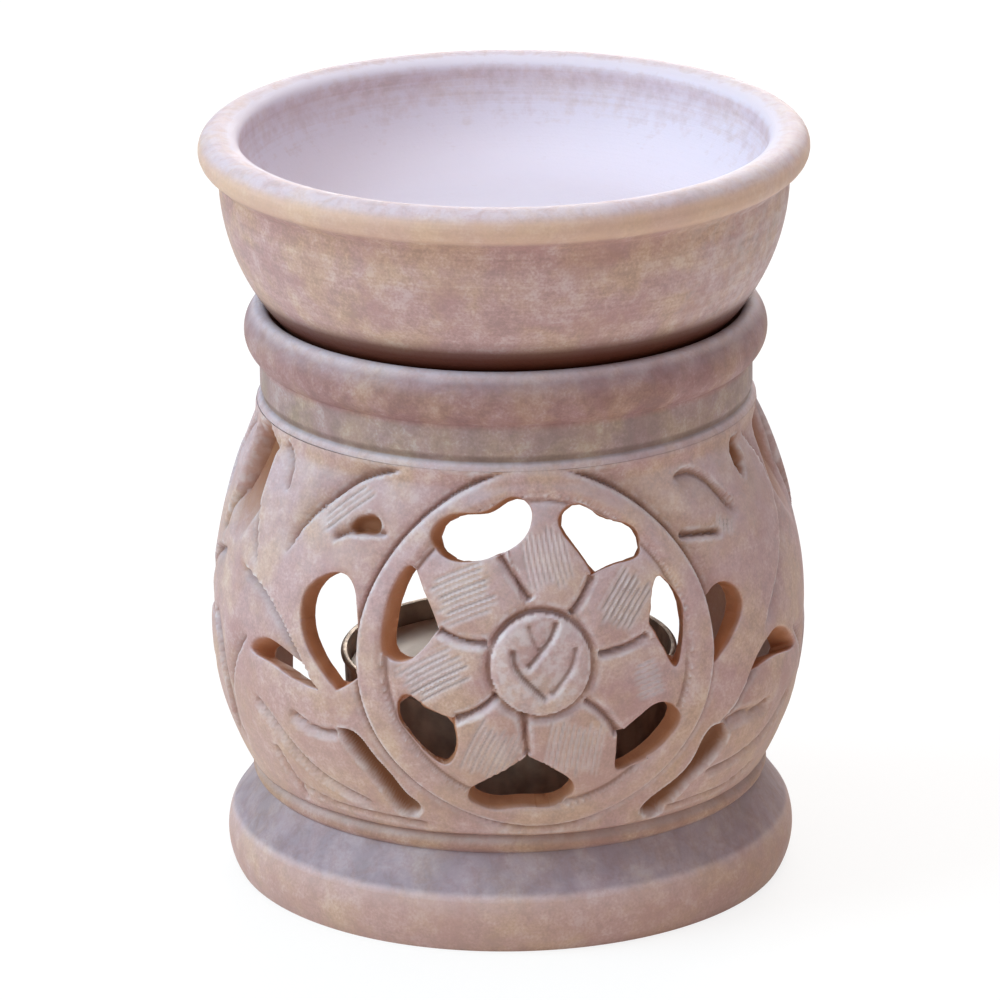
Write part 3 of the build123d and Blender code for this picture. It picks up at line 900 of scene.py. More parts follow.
def belly_outside(surface):
    """The carved outside, fine in front and coarser behind, and its holes' edges."""
    front = columns_between(-FRONT_ANGLE, FRONT_ANGLE, FRONT_PITCH)
    right = columns_between(FRONT_ANGLE, BACK_ANGLE, SIDE_PITCH)[1:]
    back = columns_between(BACK_ANGLE, FULL_TURN - BACK_ANGLE, BACK_PITCH)[1:-1]
    left = (FULL_TURN - right)[::-1]
    foot, neck = BELLY_FOOT[1], BELLY_NECK[1]
    count = int(round((neck - foot) / FRONT_PITCH / 4)) * 4
    bends = ((FOOT_TOP, FLOOR_LEVEL, 6), (FLOOR_LEVEL, BEAD_TOP, 4), (BEAD_TOP, foot, 2))
    levels = [np.linspace(low, high, steps + 1)[:-1] for low, high, steps in bends]
    levels = np.concatenate(levels + [np.linspace(foot, neck, count + 1)])
    tables = []
    sides = []
    made = 0
    for columns, step in ((front, 1), (right, 2), (back, 4), (left, 2)):
        angle, level = np.meshgrid(columns, levels[::step])
        sides.append(np.stack([angle.ravel(), level.ravel()], -1))
        tables.append(made + np.arange(angle.size).reshape(angle.shape))
        made += angle.size
    sides = np.vstack(sides)
    front_ids, right_ids, back_ids, left_ids = tables
    cells = np.vstack([table_cells(table) for table in tables])
    odd_cells = seam_cells(front_ids[:, -1], right_ids[:, 0], 2, True)
    odd_cells += seam_cells(right_ids[:, -1], back_ids[:, 0], 2, True)
    odd_cells += seam_cells(left_ids[:, 0], back_ids[:, -1], 2, False)
    # The last seam closes the turn, so its cells take the left column less one turn.
    shifted = sides[left_ids[:, -1]] - (FULL_TURN, 0)
    closing_ids = len(sides) + np.arange(len(shifted))
    sides = np.vstack([sides, shifted])
    odd_cells += seam_cells(front_ids[:, 0], closing_ids, 2, False)
    same_points = dict(zip(closing_ids.tolist(), left_ids[:, -1].tolist()))
    flat = on_side(sides[:, 0], sides[:, 1], 0.0)
    depth = hole_distance(wrapped(sides[:, 0]), sides[:, 1], flat)[0] - EDGE_WEAR
    depth[depth == 0] = 1e-6
    new_sides, follows = clipped(surface, cells, odd_cells, depth, sides, same_points)
    sides = np.vstack([sides, new_sides])
    angle, level = sides[:, 0], sides[:, 1]
    turn = wrapped(angle)
    flat = on_side(angle, level, 0.0)
    distance, which = hole_distance(turn, level, flat)
    heights, cut, marks, shade = carving(turn, level)
    below = sunk_below(angle, level, heights)
    shares = to_shares(turn, level)
    on_bud = smooth_step(BUD_RADIUS_SHARE - bud_reach(shares), 0, 0.05)
    # Ridges and the bud are paler: partly wear and partly a painted highlight.
    dust = np.maximum(smooth_step(-below, 0.02, 0.18) * (1 - cut), 0.75 * on_bud)
    # Painted shade: darker in grooves, on cut faces, beside the ring, on the low side of each step
    # and on the belly's right side.
    sunk = np.maximum.reduce([0.75 * smooth_step(below, 0.02, 0.24), 0.95 * cut,
                              ring_shade(shares), 0.60 * shade,
                              0.16 * smooth_step(np.sin(angle), 0.6, 0.9)])
    worn = -0.10 * np.exp(-np.clip(distance - EDGE_WEAR, 0, None) / 0.3)
    uneven = 0.10 * SLOW_WAVES.at(flat) - 0.12 + 0.02 * QUICK_WAVES.at(flat)
    fade = smooth_step(level, FOOT_TOP, FOOT_TOP + 3) * smooth_step(neck - level, 0, 2)
    heights = heights + worn + np.minimum(uneven, 0) * fade
    surface.add(on_side(angle, level, heights), cut=cut, marks=marks, dust=dust, sunk=sunk)
    surface.join_points(same_points)
    return sides, heights, which, follows


def belly_inside(surface):
    """The chamber's wall, coarser, with the same holes."""
    angles = columns_between(SEAM_ANGLE - FULL_TURN, SEAM_ANGLE, INNER_PITCH)
    low = BELLY_LEVEL + (FLOOR_LEVEL - BELLY_LEVEL) * LOWER_ARC / (LOWER_ARC - WALL)
    high = BELLY_LEVEL + (BELLY_NECK[1] - BELLY_LEVEL) * UPPER_ARC / (UPPER_ARC - WALL)
    levels = np.linspace(low, high, 1 + int((high - low) / INNER_PITCH))
    angle, level = np.meshgrid(angles, levels)
    sides = np.stack([angle.ravel(), level.ravel()], -1)
    points = inner_points(sides)
    distance = hole_distance(wrapped(sides[:, 0]), sides[:, 1], points, 1.0)[0]
    distance = np.where(distance == 0, 1e-6, distance)
    start = surface.count
    ids = np.arange(len(sides)).reshape(angle.shape)
    ids[:, -1] = ids[:, 0]
    local = Surface()
    new_sides, follows = clipped(local, table_cells(ids), [], distance, sides, {})
    sides = np.vstack([sides, new_sides])
    points = inner_points(sides)
    which = hole_distance(wrapped(sides[:, 0]), sides[:, 1], points, 1.0)[1]
    surface.add(points, cut=0.60)
    for face in local.faces:
        surface.face(*[corner + start for corner in reversed(face)])
    return sides, which, follows, start, ids


def majority(values):
    names, counts = np.unique(values, return_counts=True)
    return int(names[np.argmax(counts)])


def arc_points(start, middle, end, count):
    """Points on the arc through three places, both ends included."""
    (x0, y0), (x1, y1), (x2, y2) = start, middle, end
    first = x1 - x0, y1 - y0, (x1 * x1 - x0 * x0 + y1 * y1 - y0 * y0) / 2
    second = x2 - x0, y2 - y0, (x2 * x2 - x0 * x0 + y2 * y2 - y0 * y0) / 2
    scale = first[0] * second[1] - first[1] * second[0]
    x = (first[2] * second[1] - first[1] * second[2]) / scale
    y = (first[0] * second[2] - first[2] * second[0]) / scale
    radius = math.hypot(x0 - x, y0 - y)
    turns = [math.atan2(there[1] - y, there[0] - x) for there in (start, middle, end)]
    turns[1] = turns[0] + wrapped(turns[1] - turns[0])
    turns[2] = turns[1] + wrapped(turns[2] - turns[1])
    return [(x + radius * math.cos(turn), y + radius * math.sin(turn))
            for turn in np.linspace(turns[0], turns[2], count)]


def straight(start, end, count):
    return np.linspace(start, end, count)


def joined(*runs):
    """One profile from several runs, with each place where two meet taken once."""
    points = [tuple(runs[0][0])]
    for run in runs:
        run = [tuple(point) for point in run]
        points += run[1:] if math.dist(run[0], points[-1]) < 1e-6 else run
    return points


def rounded(points, corner, reach, steps=4):
    """Replaces one corner of a profile by a small curve."""
    before, here, after = (np.array(points[corner + k]) for k in (-1, 0, 1))
    start = here + (before - here) * min(1, reach / np.linalg.norm(before - here))
    end = here + (after - here) * min(1, reach / np.linalg.norm(after - here))
    curve = [tuple((1 - t) ** 2 * start + 2 * t * (1 - t) * here + t * t * end)
             for t in np.linspace(0, 1, steps + 1)]
    return points[:corner] + curve + points[corner + 1:]


def turned(surface, profile, columns=TURNED_COLUMNS, depth=TURNING_DEPTH):
    """Turns a profile of radius and level about the axis, a little out of true."""
    profile = np.array(profile)
    angles = np.linspace(0, FULL_TURN, columns, endpoint=False)
    angle, radius = np.meshgrid(angles, profile[:, 0])
    level = np.repeat(profile[:, 1], columns)
    angle, radius = angle.ravel(), radius.ravel()
    points = np.stack([radius * np.sin(angle), -radius * np.cos(angle), level], -1)
    shift = depth * np.minimum(TURNING_WAVES.at(points) - 1.2, 0) * np.minimum(radius / 5, 1)
    points[:, 0] += shift * np.sin(angle)
    points[:, 1] -= shift * np.cos(angle)
    ids = surface.add(points).reshape(len(profile), columns)
    surface.grid(ids, closed=True)
    return ids


def cap(surface, ring, centre, flip=False, **paint):
    """Closes a ring with triangles to a centre point."""
    middle = surface.add(np.array([centre], float), **paint)[0]
    for here, there in zip(ring, np.roll(ring, -1)):
        surface.face(*((there, here, middle) if flip else (here, there, middle)))


def on_axis(level):
    return (0.0, 0.0, level)


def foot_profile():
    side = arc_points(*FOOT_SIDE, 16)
    slope = straight(FOOT_SIDE[-1], (WAIST_RADIUS, FOOT_TOP), 12)
    profile = joined(straight((0.5, 0.0), FOOT_SIDE[0], 6), side, slope)
    return rounded(profile, profile.index(side[-1]), 0.8)


def collar_profile():
    """The neck's groove, the collar, its mouth, the bowl's seat and the bore below it."""
    top = COLLAR_TOP
    neck, neck_level = BELLY_NECK
    tilt = math.asin((neck_level - BELLY_LEVEL) / UPPER_ARC)
    edge = (neck + NECK_FLARE * math.cos(tilt), neck_level + NECK_FLARE * math.sin(tilt))
    ledge = (26.6, neck_level - 0.05)
    groove = neck_level + 1.1
    groove_top = (neck, groove + 0.9)
    groove_line = spline([edge, (neck, groove - 0.25), (27.95, groove), (28.0, groove + 0.3),
                          groove_top], 4)
    collar = arc_points((neck, COLLAR_BASE), (COLLAR_RADIUS, (COLLAR_BASE + top) / 2),
                        COLLAR_EDGE, 18)
    lip = spline([COLLAR_EDGE, (28.6, top - 0.15), (28.0, top), (27.35, top - 0.25),
                  (27.0, top - 1.0)], 4)
    lip[:, 1] = np.minimum(lip[:, 1], top)
    across, down = math.cos(SEAT_ANGLE), math.sin(SEAT_ANGLE)
    reach = BOWL_ARC_RADIUS + REST_GAP
    contact = (BOWL_ARC_CENTRE[0] + reach * across, BOWL_ARC_CENTRE[1] - reach * down)
    inner = (contact[0] - SEAT_HALF * down, contact[1] - SEAT_HALF * across)
    outer = (contact[0] + SEAT_HALF * down, contact[1] + SEAT_HALF * across)
    seat_wall = (outer[0] + SEAT_STEP, outer[1])
    bore_foot = (inner[0], inner[1] - SEAT_BORE)
    chamber = (inner_radius(neck_level), neck_level)
    return joined(straight(ledge, edge, 3), groove_line,
                  straight(groove_top, (neck, COLLAR_BASE), 6), collar, lip,
                  straight(lip[-1], seat_wall, 6), straight(seat_wall, outer, 3),
                  straight(outer, inner, 5), straight(inner, bore_foot, 4),
                  straight(bore_foot, chamber, 6))


def floor_run(inner_sides, inner_ids, run, start):
    """The floor's edge across the arch, which closes the run of its inner edge."""
    from_angle = inner_sides[run[-1], 0] % FULL_TURN
    to_angle = inner_sides[run[0], 0] % FULL_TURN
    low, high = sorted((from_angle, to_angle))
    row = inner_ids[0, :-1]
    angles = inner_sides[row, 0] % FULL_TURN
    between = [(angle, int(point)) for angle, point in zip(angles, row) if low < angle < high]
    between.sort(reverse=bool(from_angle > to_angle))
    return [point + start for angle, point in between]


def burner_body(material):
    surface = Surface()
    sides, heights, which, follows = belly_outside(surface)
    inner_sides, inner_which, inner_follows, start, inner_ids = belly_inside(surface)
    inner_loops = {}
    for run, closed in chains(inner_follows):
        ids = [point + start for point in run]
        if not closed:
            ids += floor_run(inner_sides, inner_ids, run, start)
        inner_loops.setdefault(majority(inner_which[run]), ids)
    for run, closed in chains(follows):
        name = majority(which[run])
        edge = sides[run]
        edge[:, 0] = edge[:, 0] % FULL_TURN if name == ARCH_HOLE else wrapped(edge[:, 0])
        last = hole_wall(surface, np.array(run), edge, heights[run], name)
        surface.bridge(last, inner_loops[name])
    cap(surface, inner_ids[0, :-1] + start, on_axis(FLOOR_LEVEL), cut=0.5)
    foot = turned(surface, foot_profile())
    # Painted shade on the right side of the foot.
    surface.repaint("sunk", 0.36 * smooth_step(surface.points[-1][:, 0], 10, 30))
    cap(surface, foot[0], on_axis(0.0), flip=True)
    collar = turned(surface, collar_profile())
    # The collar's mouth, the seat and the bore take the cut colour as painted shade in the crevice
    # under the bowl.
    mouth = np.arange(len(collar)) >= len(collar) - COLLAR_MOUTH_ROWS
    surface.repaint("cut", np.repeat(mouth, TURNED_COLUMNS))
    return surface.make("stone_body", material, sharp=42)


def bowl_profile():
    """The bowl from its foot, up the outside, over the rim and down to its floor."""
    top = BOWL_HIGH[2]
    rim = BOWL_HIGH[0]
    centre_radius, centre_level = BOWL_ARC_CENTRE
    foot = (BOWL_FOOT_RADIUS, BOWL_LOW[2])
    turn = np.linspace(-math.asin((centre_level - foot[1]) / BOWL_ARC_RADIUS), 0, 30)
    side = np.stack([centre_radius + BOWL_ARC_RADIUS * np.cos(turn),
                     centre_level + BOWL_ARC_RADIUS * np.sin(turn)], -1)
    side[0] = foot
    crown = (rim - BOWL_CROWN_WIDTH, top)
    mouth = (rim - BOWL_RIM_WIDTH, top - BOWL_MOUTH_DROP)
    rim_side = arc_points(BOWL_RIDGE, (rim, BOWL_BULGE_LEVEL), crown, 14)
    floor_radius = mouth[0] - BOWL_DEPTH
    floor_level = mouth[1] - BOWL_DEPTH
    turn = np.linspace(0.16, math.pi / 2, 24)
    inner = np.stack([floor_radius + BOWL_DEPTH * np.cos(turn),
                      mouth[1] - BOWL_DEPTH * np.sin(turn)], -1)
    lip = spline([crown, (crown[0] - 1.1, top - 0.28), (mouth[0] + 0.10, mouth[1]), inner[0]], 5)
    profile = joined(straight((0.6, BOWL_LOW[2]), foot, 8), side,
                     straight(side[-1], BOWL_RIDGE, 4), rim_side, lip, inner,
                     straight((floor_radius, floor_level), (0.6, floor_level - BOWL_DISH), 14))
    return [(radius, min(level, top)) for radius, level in profile]


def oil_bowl(material):
    """The bowl, paler inside and on its right side as painted light, with a painted shadow
    underneath.
    """
    surface = Surface()
    profile = np.array(bowl_profile())
    ids = turned(surface, profile, columns=BOWL_COLUMNS)
    points = surface.points[0]
    radius = np.hypot(points[:, 0], points[:, 1])
    row = np.arange(len(points)) // BOWL_COLUMNS
    hollow = smooth_step(row - np.argmax(profile[:, 1]), 2, 9)
    # Painted shadow on the bowl's lower side, which sits in the collar.
    under = (1 - smooth_step(points[:, 2], UNDERSIDE_SHADOW_TOP - 2.2, UNDERSIDE_SHADOW_TOP)) * (1 - hollow)
    # Painted light on the bowl's right side.
    right = smooth_step(points[:, 0] / radius, 0.35, 0.85)
    # Painted light inside the hollow.
    surface.repaint("powder", 0.75 * hollow)
    surface.repaint("soot", under)
    surface.repaint("dust", 0.55 * right * (1 - hollow) * (1 - under))
    cap(surface, ids[0], on_axis(BOWL_LOW[2]), flip=True, soot=1.0)
    cap(surface, ids[-1], on_axis(BOWL_HIGH[2] - BOWL_MOUTH_DROP - BOWL_DEPTH - BOWL_DISH),
        powder=0.75)
    return surface.make("stone_bowl", material)


def fluted_cup(material):
    """A pressed cup with shallow upright flutes and a rolled rim."""
    surface = Surface()
    low, high = CUP_LOW[2], CUP_HIGH[2]
    mouth = CUP_HIGH[0] - CUP_ROLL
    base = mouth - CUP_TAPER
    turn = np.linspace(0, math.pi, 9)
    roll = np.stack([mouth + CUP_ROLL * np.sin(turn), high - CUP_ROLL * (1 + np.cos(turn))], -1)
    inner_mouth, inner_base = mouth - CUP_WALL, base - CUP_WALL
    outside = joined(straight((0.5, low), (base - 0.5, low), 8),
                     [(base - 0.15, low + 0.12), (base, low + 0.5)],
                     straight((base, low + 0.5), (mouth, high - 2 * CUP_ROLL), 14), roll)
    inside_run = joined([(inner_mouth, high - 0.1)],
                        straight((inner_mouth, high - 0.4), (inner_base, low + 0.5), 14),
                        straight((inner_base, low + CUP_WALL), (0.5, low + CUP_WALL), 8))
    ids = turned(surface, outside + inside_run, columns=CUP_COLUMNS, depth=0.0)
    points = surface.points[0]
    radius = np.hypot(points[:, 0], points[:, 1])
    angle = np.arctan2(points[:, 0], -points[:, 1])
    rise = (points[:, 2] - low) / (high - low)
    wall = smooth_step(rise, 0.02, 0.12) * smooth_step(0.93 - rise, 0, 0.08)
    wall = wall * (radius > base - 0.6)
    flute = FLUTE_DEPTH * (np.abs(np.sin(angle * FLUTES / 2)) - 1) * wall
    points[:, :2] *= (1 + flute / np.maximum(radius, 1))[:, None]
    cap(surface, ids[0], on_axis(low), flip=True)
    cap(surface, ids[-1], on_axis(low + CUP_WALL))
    return surface.make("fluted_cup", material, sharp=60)


def wax_fill(material):
    """Wax with a raised edge against the cup and a dip round the wick."""
    surface = Surface()
    low, high = WAX_LOW[2] + 0.05, WAX_HIGH[2]
    edge = WAX_HIGH[0] - 0.16
    base = edge - 0.32
    radius = np.linspace(edge - 0.05, 0.9, 40)
    level = high - 0.25 * hump(radius, 1.2, 1.6) - 0.22 + 0.22 * np.exp(-(edge - radius) / 0.6)
    profile = joined(straight((1.0, low), (base, low), 4), straight((base, low), (edge, high), 4),
                     np.stack([radius, level], -1))
    ids = turned(surface, profile, columns=160, depth=0.0)
    cap(surface, ids[0], on_axis(low), flip=True)
    cap(surface, ids[-1], on_axis(high - 0.5))
    return surface.make("wax_fill", material, sharp=60)


def braided_wick(material):
    """A round wick of three plaited strands, tapered at its tip."""
    surface = Surface()
    low, high = WICK_LOW[2], WICK_HIGH[2]
    strand = 0.56 * WICK_HIGH[0]
    swing = WICK_HIGH[0] - strand
    levels = np.linspace(low, high - 0.1, 90)
    thickness = strand * np.minimum(1, (high - levels) / 0.5)
    around = np.linspace(0, FULL_TURN, STRAND_SIDES, endpoint=False)
    circle = np.stack([np.cos(around), np.sin(around), 0 * around], -1)
    for phase in (0, FULL_TURN / 3, FULL_TURN * 2 / 3):
        turn = (levels - low) * 1.9 + phase
        centres = np.stack([swing * np.sin(turn), swing * 0.8 * np.sin(2 * turn), levels], -1)
        rings = [surface.add(centre + thick * circle) for centre, thick in zip(centres, thickness)]
        surface.grid(np.array(rings), closed=True)
        cap(surface, rings[0], centres[0], flip=True)
        cap(surface, rings[-1], centres[-1])
    return surface.make("plaited_wick", material, sharp=60)


# Materials

def linear(code):
    """A colour as written, such as c9a798, in scene values."""
    values = [int(code[k:k + 2], 16) / 255 for k in (0, 2, 4)]
    return [value / 12.92 if value <= 0.04045 else ((value + 0.055) / 1.055) ** 2.4
            for value in values] + [1.0]


class Finish:
    """Adds nodes to the tree of one material or world, and joins them."""

    def __init__(self, owner):
        owner.use_nodes = True
        self.owner = owner
        self.tree = owner.node_tree
        self.shader = self.tree.nodes.get("Principled BSDF")

    def feed(self, node, inputs):
        """Joins a socket to each named input, or sets the input's own value."""
        for name, value in inputs.items():
            if isinstance(value, bpy.types.NodeSocket):
                self.tree.links.new(value, node.inputs[name])
            else:
                node.inputs[name].default_value = value

    def node(self, kind, inputs=None, **settings):
        made = self.tree.nodes.new(kind)
        for name, value in settings.items():
            setattr(made, name, value)
        self.feed(made, inputs or {})
        return made

    def math(self, operation, first, second=0.0, clamp=False):
        inputs = {0: first, 1: second}
        return self.node("ShaderNodeMath", inputs, operation=operation, use_clamp=clamp).outputs[0]

    def times(self, *values):
        product = values[0]
        for value in values[1:]:
            product = self.math("MULTIPLY", product, value)
        return product

    def spread(self, value, low, high, out_low=0.0, out_high=1.0):
        """Takes the range from low to high to another range, with soft ends."""
        inputs = {"Value": value, "From Min": low, "From Max": high,
                  "To Min": out_low, "To Max": out_high}
        return self.node("ShaderNodeMapRange", inputs,
                         interpolation_type="SMOOTHSTEP").outputs["Result"]

    def mix(self, share, first, second, blend="MIX"):
        """Mixes two colours, each a socket or a code such as c9a798."""
        made = self.node("ShaderNodeMix", data_type="RGBA", blend_type=blend)
        colours = [linear(value) if isinstance(value, str) else value
                   for value in (first, second)]
        slots = [index for index, socket in enumerate(made.inputs) if socket.type == "RGBA"]
        self.feed(made, {"Factor": share, slots[0]: colours[0], slots[1]: colours[1]})
        return [socket for socket in made.outputs if socket.type == "RGBA"][0]

    def noise(self, place, scale, detail=3.0, roughness=0.5, distortion=0.0):
        inputs = {"Vector": place, "Scale": scale, "Detail": detail,
                  "Roughness": roughness, "Distortion": distortion}
        return self.node("ShaderNodeTexNoise", inputs).outputs["Fac"]

    def object_place(self):
        return self.node("ShaderNodeTexCoord").outputs["Object"]

    def parts(self, vector):
        return self.node("ShaderNodeSeparateXYZ", {0: vector}).outputs

    def place(self, shift=(0.0, 0.0, 0.0)):
        """Object places in millimetres."""
        inputs = {"Vector": self.object_place(), "Scale": (1 / MM, 1 / MM, 1 / MM),
                  "Location": shift}
        return self.node("ShaderNodeMapping", inputs).outputs["Vector"]

    def turned_place(self, along, around, up):
        """Places by radius, height and angle, for marks left by the lathe."""
        x, y, z = self.parts(self.object_place())
        radius = self.math("SQRT", self.math("ADD", self.times(x, x), self.times(y, y)))
        angle = self.math("ARCTAN2", x, y)
        inputs = {0: self.times(radius, along / MM), 1: self.times(z, up / MM),
                  2: self.times(angle, around)}
        return self.node("ShaderNodeCombineXYZ", inputs).outputs[0]

    def band(self, low, high, soft):
        """One between two levels in millimetres, fading over the soft distance."""
        level = self.times(self.parts(self.object_place())[2], 1 / MM)
        rise = self.spread(level, low - soft, low + soft)
        return self.times(rise, self.spread(level, high - soft, high + soft, 1.0, 0.0))

    def painted(self, name):
        return self.node("ShaderNodeAttribute", attribute_name=name).outputs["Fac"]

    def facing_up(self):
        return self.parts(self.node("ShaderNodeNewGeometry").outputs["Normal"])[2]

    def bump(self, height, strength, distance, **below):
        inputs = {"Strength": strength, "Distance": distance * MM, "Height": height, **below}
        return self.node("ShaderNodeBump", inputs).outputs["Normal"]


def stone(name, streaks, seed, bands):
    """Mottled soapstone, pinkish brown to peach, with a pale cast on what faces up, partly dust
    and partly painted light from above.

    streaks is the strength of the lathe's rings. Each band is its low and high level, its
    softness, its amount, its colour and how it blends."""
    finish = Finish(bpy.data.materials.new(name))
    times, mix, spread = finish.times, finish.mix, finish.spread
    place = finish.place((seed, 2 * seed, 3 * seed))
    hue = spread(finish.noise(place, 0.13, 4.0, 0.6, 0.3), 0.38, 0.64)
    mottle = finish.noise(place, 0.62, 4.0, 0.60)
    wisps = finish.noise(place, 0.22, 4.0, 0.62, 0.4)
    speckle = finish.noise(place, 3.2, 2.0, 0.6)
    rings = finish.noise(finish.turned_place(1.7, 0.7, 1.7), 1.0, 4.0, 0.65)
    blend = finish.math("ADD", times(mottle, 0.55), times(wisps, 0.45))
    for fine, amount in ((speckle, 0.42), (rings, streaks)):
        blend = finish.math("ADD", blend, times(finish.math("SUBTRACT", fine, 0.5), amount))
    dark = mix(hue, "b5918b", "bb9885")
    middle = mix(hue, "c89f9a", "d0aa94")
    pale = mix(hue, "d8bbb7", "dfc2ae")
    colour = mix(spread(blend, 0.34, 0.54), dark, middle)
    colour = mix(spread(blend, 0.49, 0.69), colour, pale)
    blush = spread(finish.noise(place, 0.19, 3.0, 0.55), 0.46, 0.70, 0.0, 0.45)
    colour = mix(blush, colour, "ba8c88")
    # Cut faces are orange, partly the cut stone's own tint and partly painted shade in holes and
    # hollows, and take no pale cast from above.
    cut = finish.painted("cut")
    colour = mix(times(cut, 0.90), colour, "bf7a4c")
    # What faces up is paler in patches: partly dust and partly painted light from above.
    pale_patches = spread(finish.noise(place, 0.55, 5.0, 0.65, 0.6), 0.34, 0.62, 0.62, 1.0)
    dust_and_top_light = times(spread(finish.facing_up(), -0.10, 0.95), finish.math("SUBTRACT", 1.0, cut), 0.72)
    dust_and_top_light = finish.math("MULTIPLY", finish.math("ADD", dust_and_top_light, 0.02), pale_patches, clamp=True)
    # Painted light inside the bowl's hollow, streaked by the lathe's rings.
    inner = finish.painted("powder")
    powder = times(inner, spread(mottle, 0.36, 0.62, 0.72, 1.0),
                   spread(rings, 0.36, 0.60, 0.80, 1.0))
    colour = mix(finish.math("ADD", dust_and_top_light, powder, clamp=True), colour, "e0d5e2")
    # Ridges, the bud and the bowl's right side are paler: partly wear and partly painted light.
    blotches = spread(finish.noise(place, 0.9, 3.0), 0.42, 0.62, 0.2, 0.7)
    colour = mix(times(finish.painted("dust"), blotches), colour, "e6dadb")
    colour = mix(times(finish.painted("marks"), 0.92), colour, "e6dadb")
    uneven = spread(wisps, 0.35, 0.65, 1.0, 0.75)
    outside = spread(inner, 0.0, 0.2, 1.0, 0.0)
    for low, high, soft, amount, tint, blending in bands:
        share = times(finish.band(low, high, soft), uneven, outside, amount)
        colour = mix(share, colour, tint, blending)
    # Painted shade, dark brown.
    colour = mix(times(finish.painted("sunk"), 0.74), colour, "75482c")
    # Painted shadow under the bowl, almost black brown.
    colour = mix(times(finish.painted("soot"), 0.97), colour, "521d02")
    grain = finish.bump(speckle, 0.25, 0.12)
    finish.feed(finish.shader, {
        "Base Color": colour,
        "Roughness": spread(mottle, 0.3, 0.7, 0.50, 0.68),
        "Specular IOR Level": 0.35,
        "Subsurface Weight": 0.08,
        "Subsurface Radius": (1.0, 0.55, 0.35),
        "Subsurface Scale": 0.9 * MM,
        "Normal": finish.bump(rings, 0.35 * min(1, streaks * 5), 0.10, Normal=grain)})
    return finish.owner


def two_tone(name, size, detail, dark, pale):
    """A finish of two colours in soft clouds, and the clouds, to drive more with."""
    finish = Finish(bpy.data.materials.new(name))
    cloud = finish.noise(finish.place(), size, detail)
    colour = finish.mix(finish.spread(cloud, 0.35, 0.65), dark, pale)
    finish.feed(finish.shader, {"Base Color": colour})
    return finish, cloud


def cup_metal():
    # The metal is darker and browner than bare aluminium: painted shade and a painted reflection
    # of the brown stone round it.
    finish, dents = two_tone("thin_aluminium", 0.25, 3.0, "a2958a", "c9bcae")
    brushed = finish.noise(finish.turned_place(1.0, 30.0, 6.0), 1.0, 3.0)
    finish.feed(finish.shader, {"Metallic": 0.8,
                                "Roughness": finish.spread(brushed, 0.3, 0.7, 0.46, 0.60),
                                "Normal": finish.bump(dents, 0.4, 0.25)})
    return finish.owner


def wax():
    finish, cloud = two_tone("paraffin_wax", 0.22, 4.0, "e6d6c8", "f4e8dc")
    ripples = finish.noise(finish.place(), 0.9, 3.0)
    finish.feed(finish.shader, {"Roughness": finish.spread(cloud, 0.3, 0.7, 0.32, 0.5),
                                "Subsurface Weight": 0.35,
                                "Subsurface Radius": (1.0, 0.8, 0.6),
                                "Subsurface Scale": 1.5 * MM,
                                "Normal": finish.bump(ripples, 0.2, 0.2)})
    return finish.owner


def cotton():
    finish, fibres = two_tone("cotton_wick", 5.0, 4.0, "cfc3b2", "eee8dc")
    finish.feed(finish.shader, {"Roughness": 0.85, "Sheen Weight": 0.3,
                                "Normal": finish.bump(fibres, 0.5, 0.1)})
    return finish.owner


def tinned_steel():
    finish, wear = two_tone("sustainer_steel", 1.2, 3.0, "8f8d8a", "b9b7b3")
    finish.feed(finish.shader, {"Metallic": 1.0,
                                "Roughness": finish.spread(wear, 0.3, 0.7, 0.25, 0.45)})
    return finish.owner


# Assembly

# Bands of colour on the stone: levels, softness, amount, colour, blend. On the body, the bands
# over the collar, the neck and the foot's slope are partly the stone's own tone and partly painted
# shade under the bowl and the belly, and the dark band at the neck's groove is painted shade.
BODY_BANDS = ((COLLAR_BASE - 0.4, COLLAR_TOP - 0.8, 0.5, 1.0, "d1c3c3", "MULTIPLY"),
              (BELLY_NECK[1] + 1.0, COLLAR_BASE - 0.4, 0.4, 1.0, "d6dddd", "MULTIPLY"),
              (BELLY_NECK[1] + 0.95, BELLY_NECK[1] + 1.8, 0.25, 0.55, "6b5347", "MIX"),
              (FOOT_TOP - 4.1, FOOT_TOP + 0.3, 0.4, 1.0, "c7c5cb", "MULTIPLY"),
              (FOOT_TOP + 0.3, BELLY_FOOT[1], 0.4, 1.0, "dcd2c6", "MULTIPLY"),
              (BELLY_FOOT[1], 26.0, 7.0, 0.30, "cfa98c", "MIX"),
              (-2.0, FOOT_TOP - 4.4, 0.5, 0.30, "d3ab94", "MIX"))
BOWL_BANDS = ((80.5, 83.6, 0.5, 0.5, "f3e7dd", "MULTIPLY"),
              (83.7, 86.6, 0.5, 0.60, "efc7a9", "MIX"))
PIECES = (
    (burner_body(stone("carved_soapstone", 0.08, 3.0, BODY_BANDS)),
     "body", "body_stone", "burner_body"),
    (oil_bowl(stone("turned_soapstone", 0.30, 17.0, BOWL_BANDS)),
     "bowl", "bowl_stone", "oil_bowl"),
    (fluted_cup(cup_metal()), "tealight", "cup_metal", "tealight_cup"),
    (wax_fill(wax()), "tealight", "wax", "tealight_wax"),
    (braided_wick(cotton()), "tealight", "wick", "tealight_wick"),
)
for piece, body_name, slot_name, node_name in PIECES:
    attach(piece, body_name)
    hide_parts(node_name)
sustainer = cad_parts["wick_sustainer"]
sustainer.data.materials.clear()
sustainer.data.materials.append(tinned_steel())


# Floor, light and camera

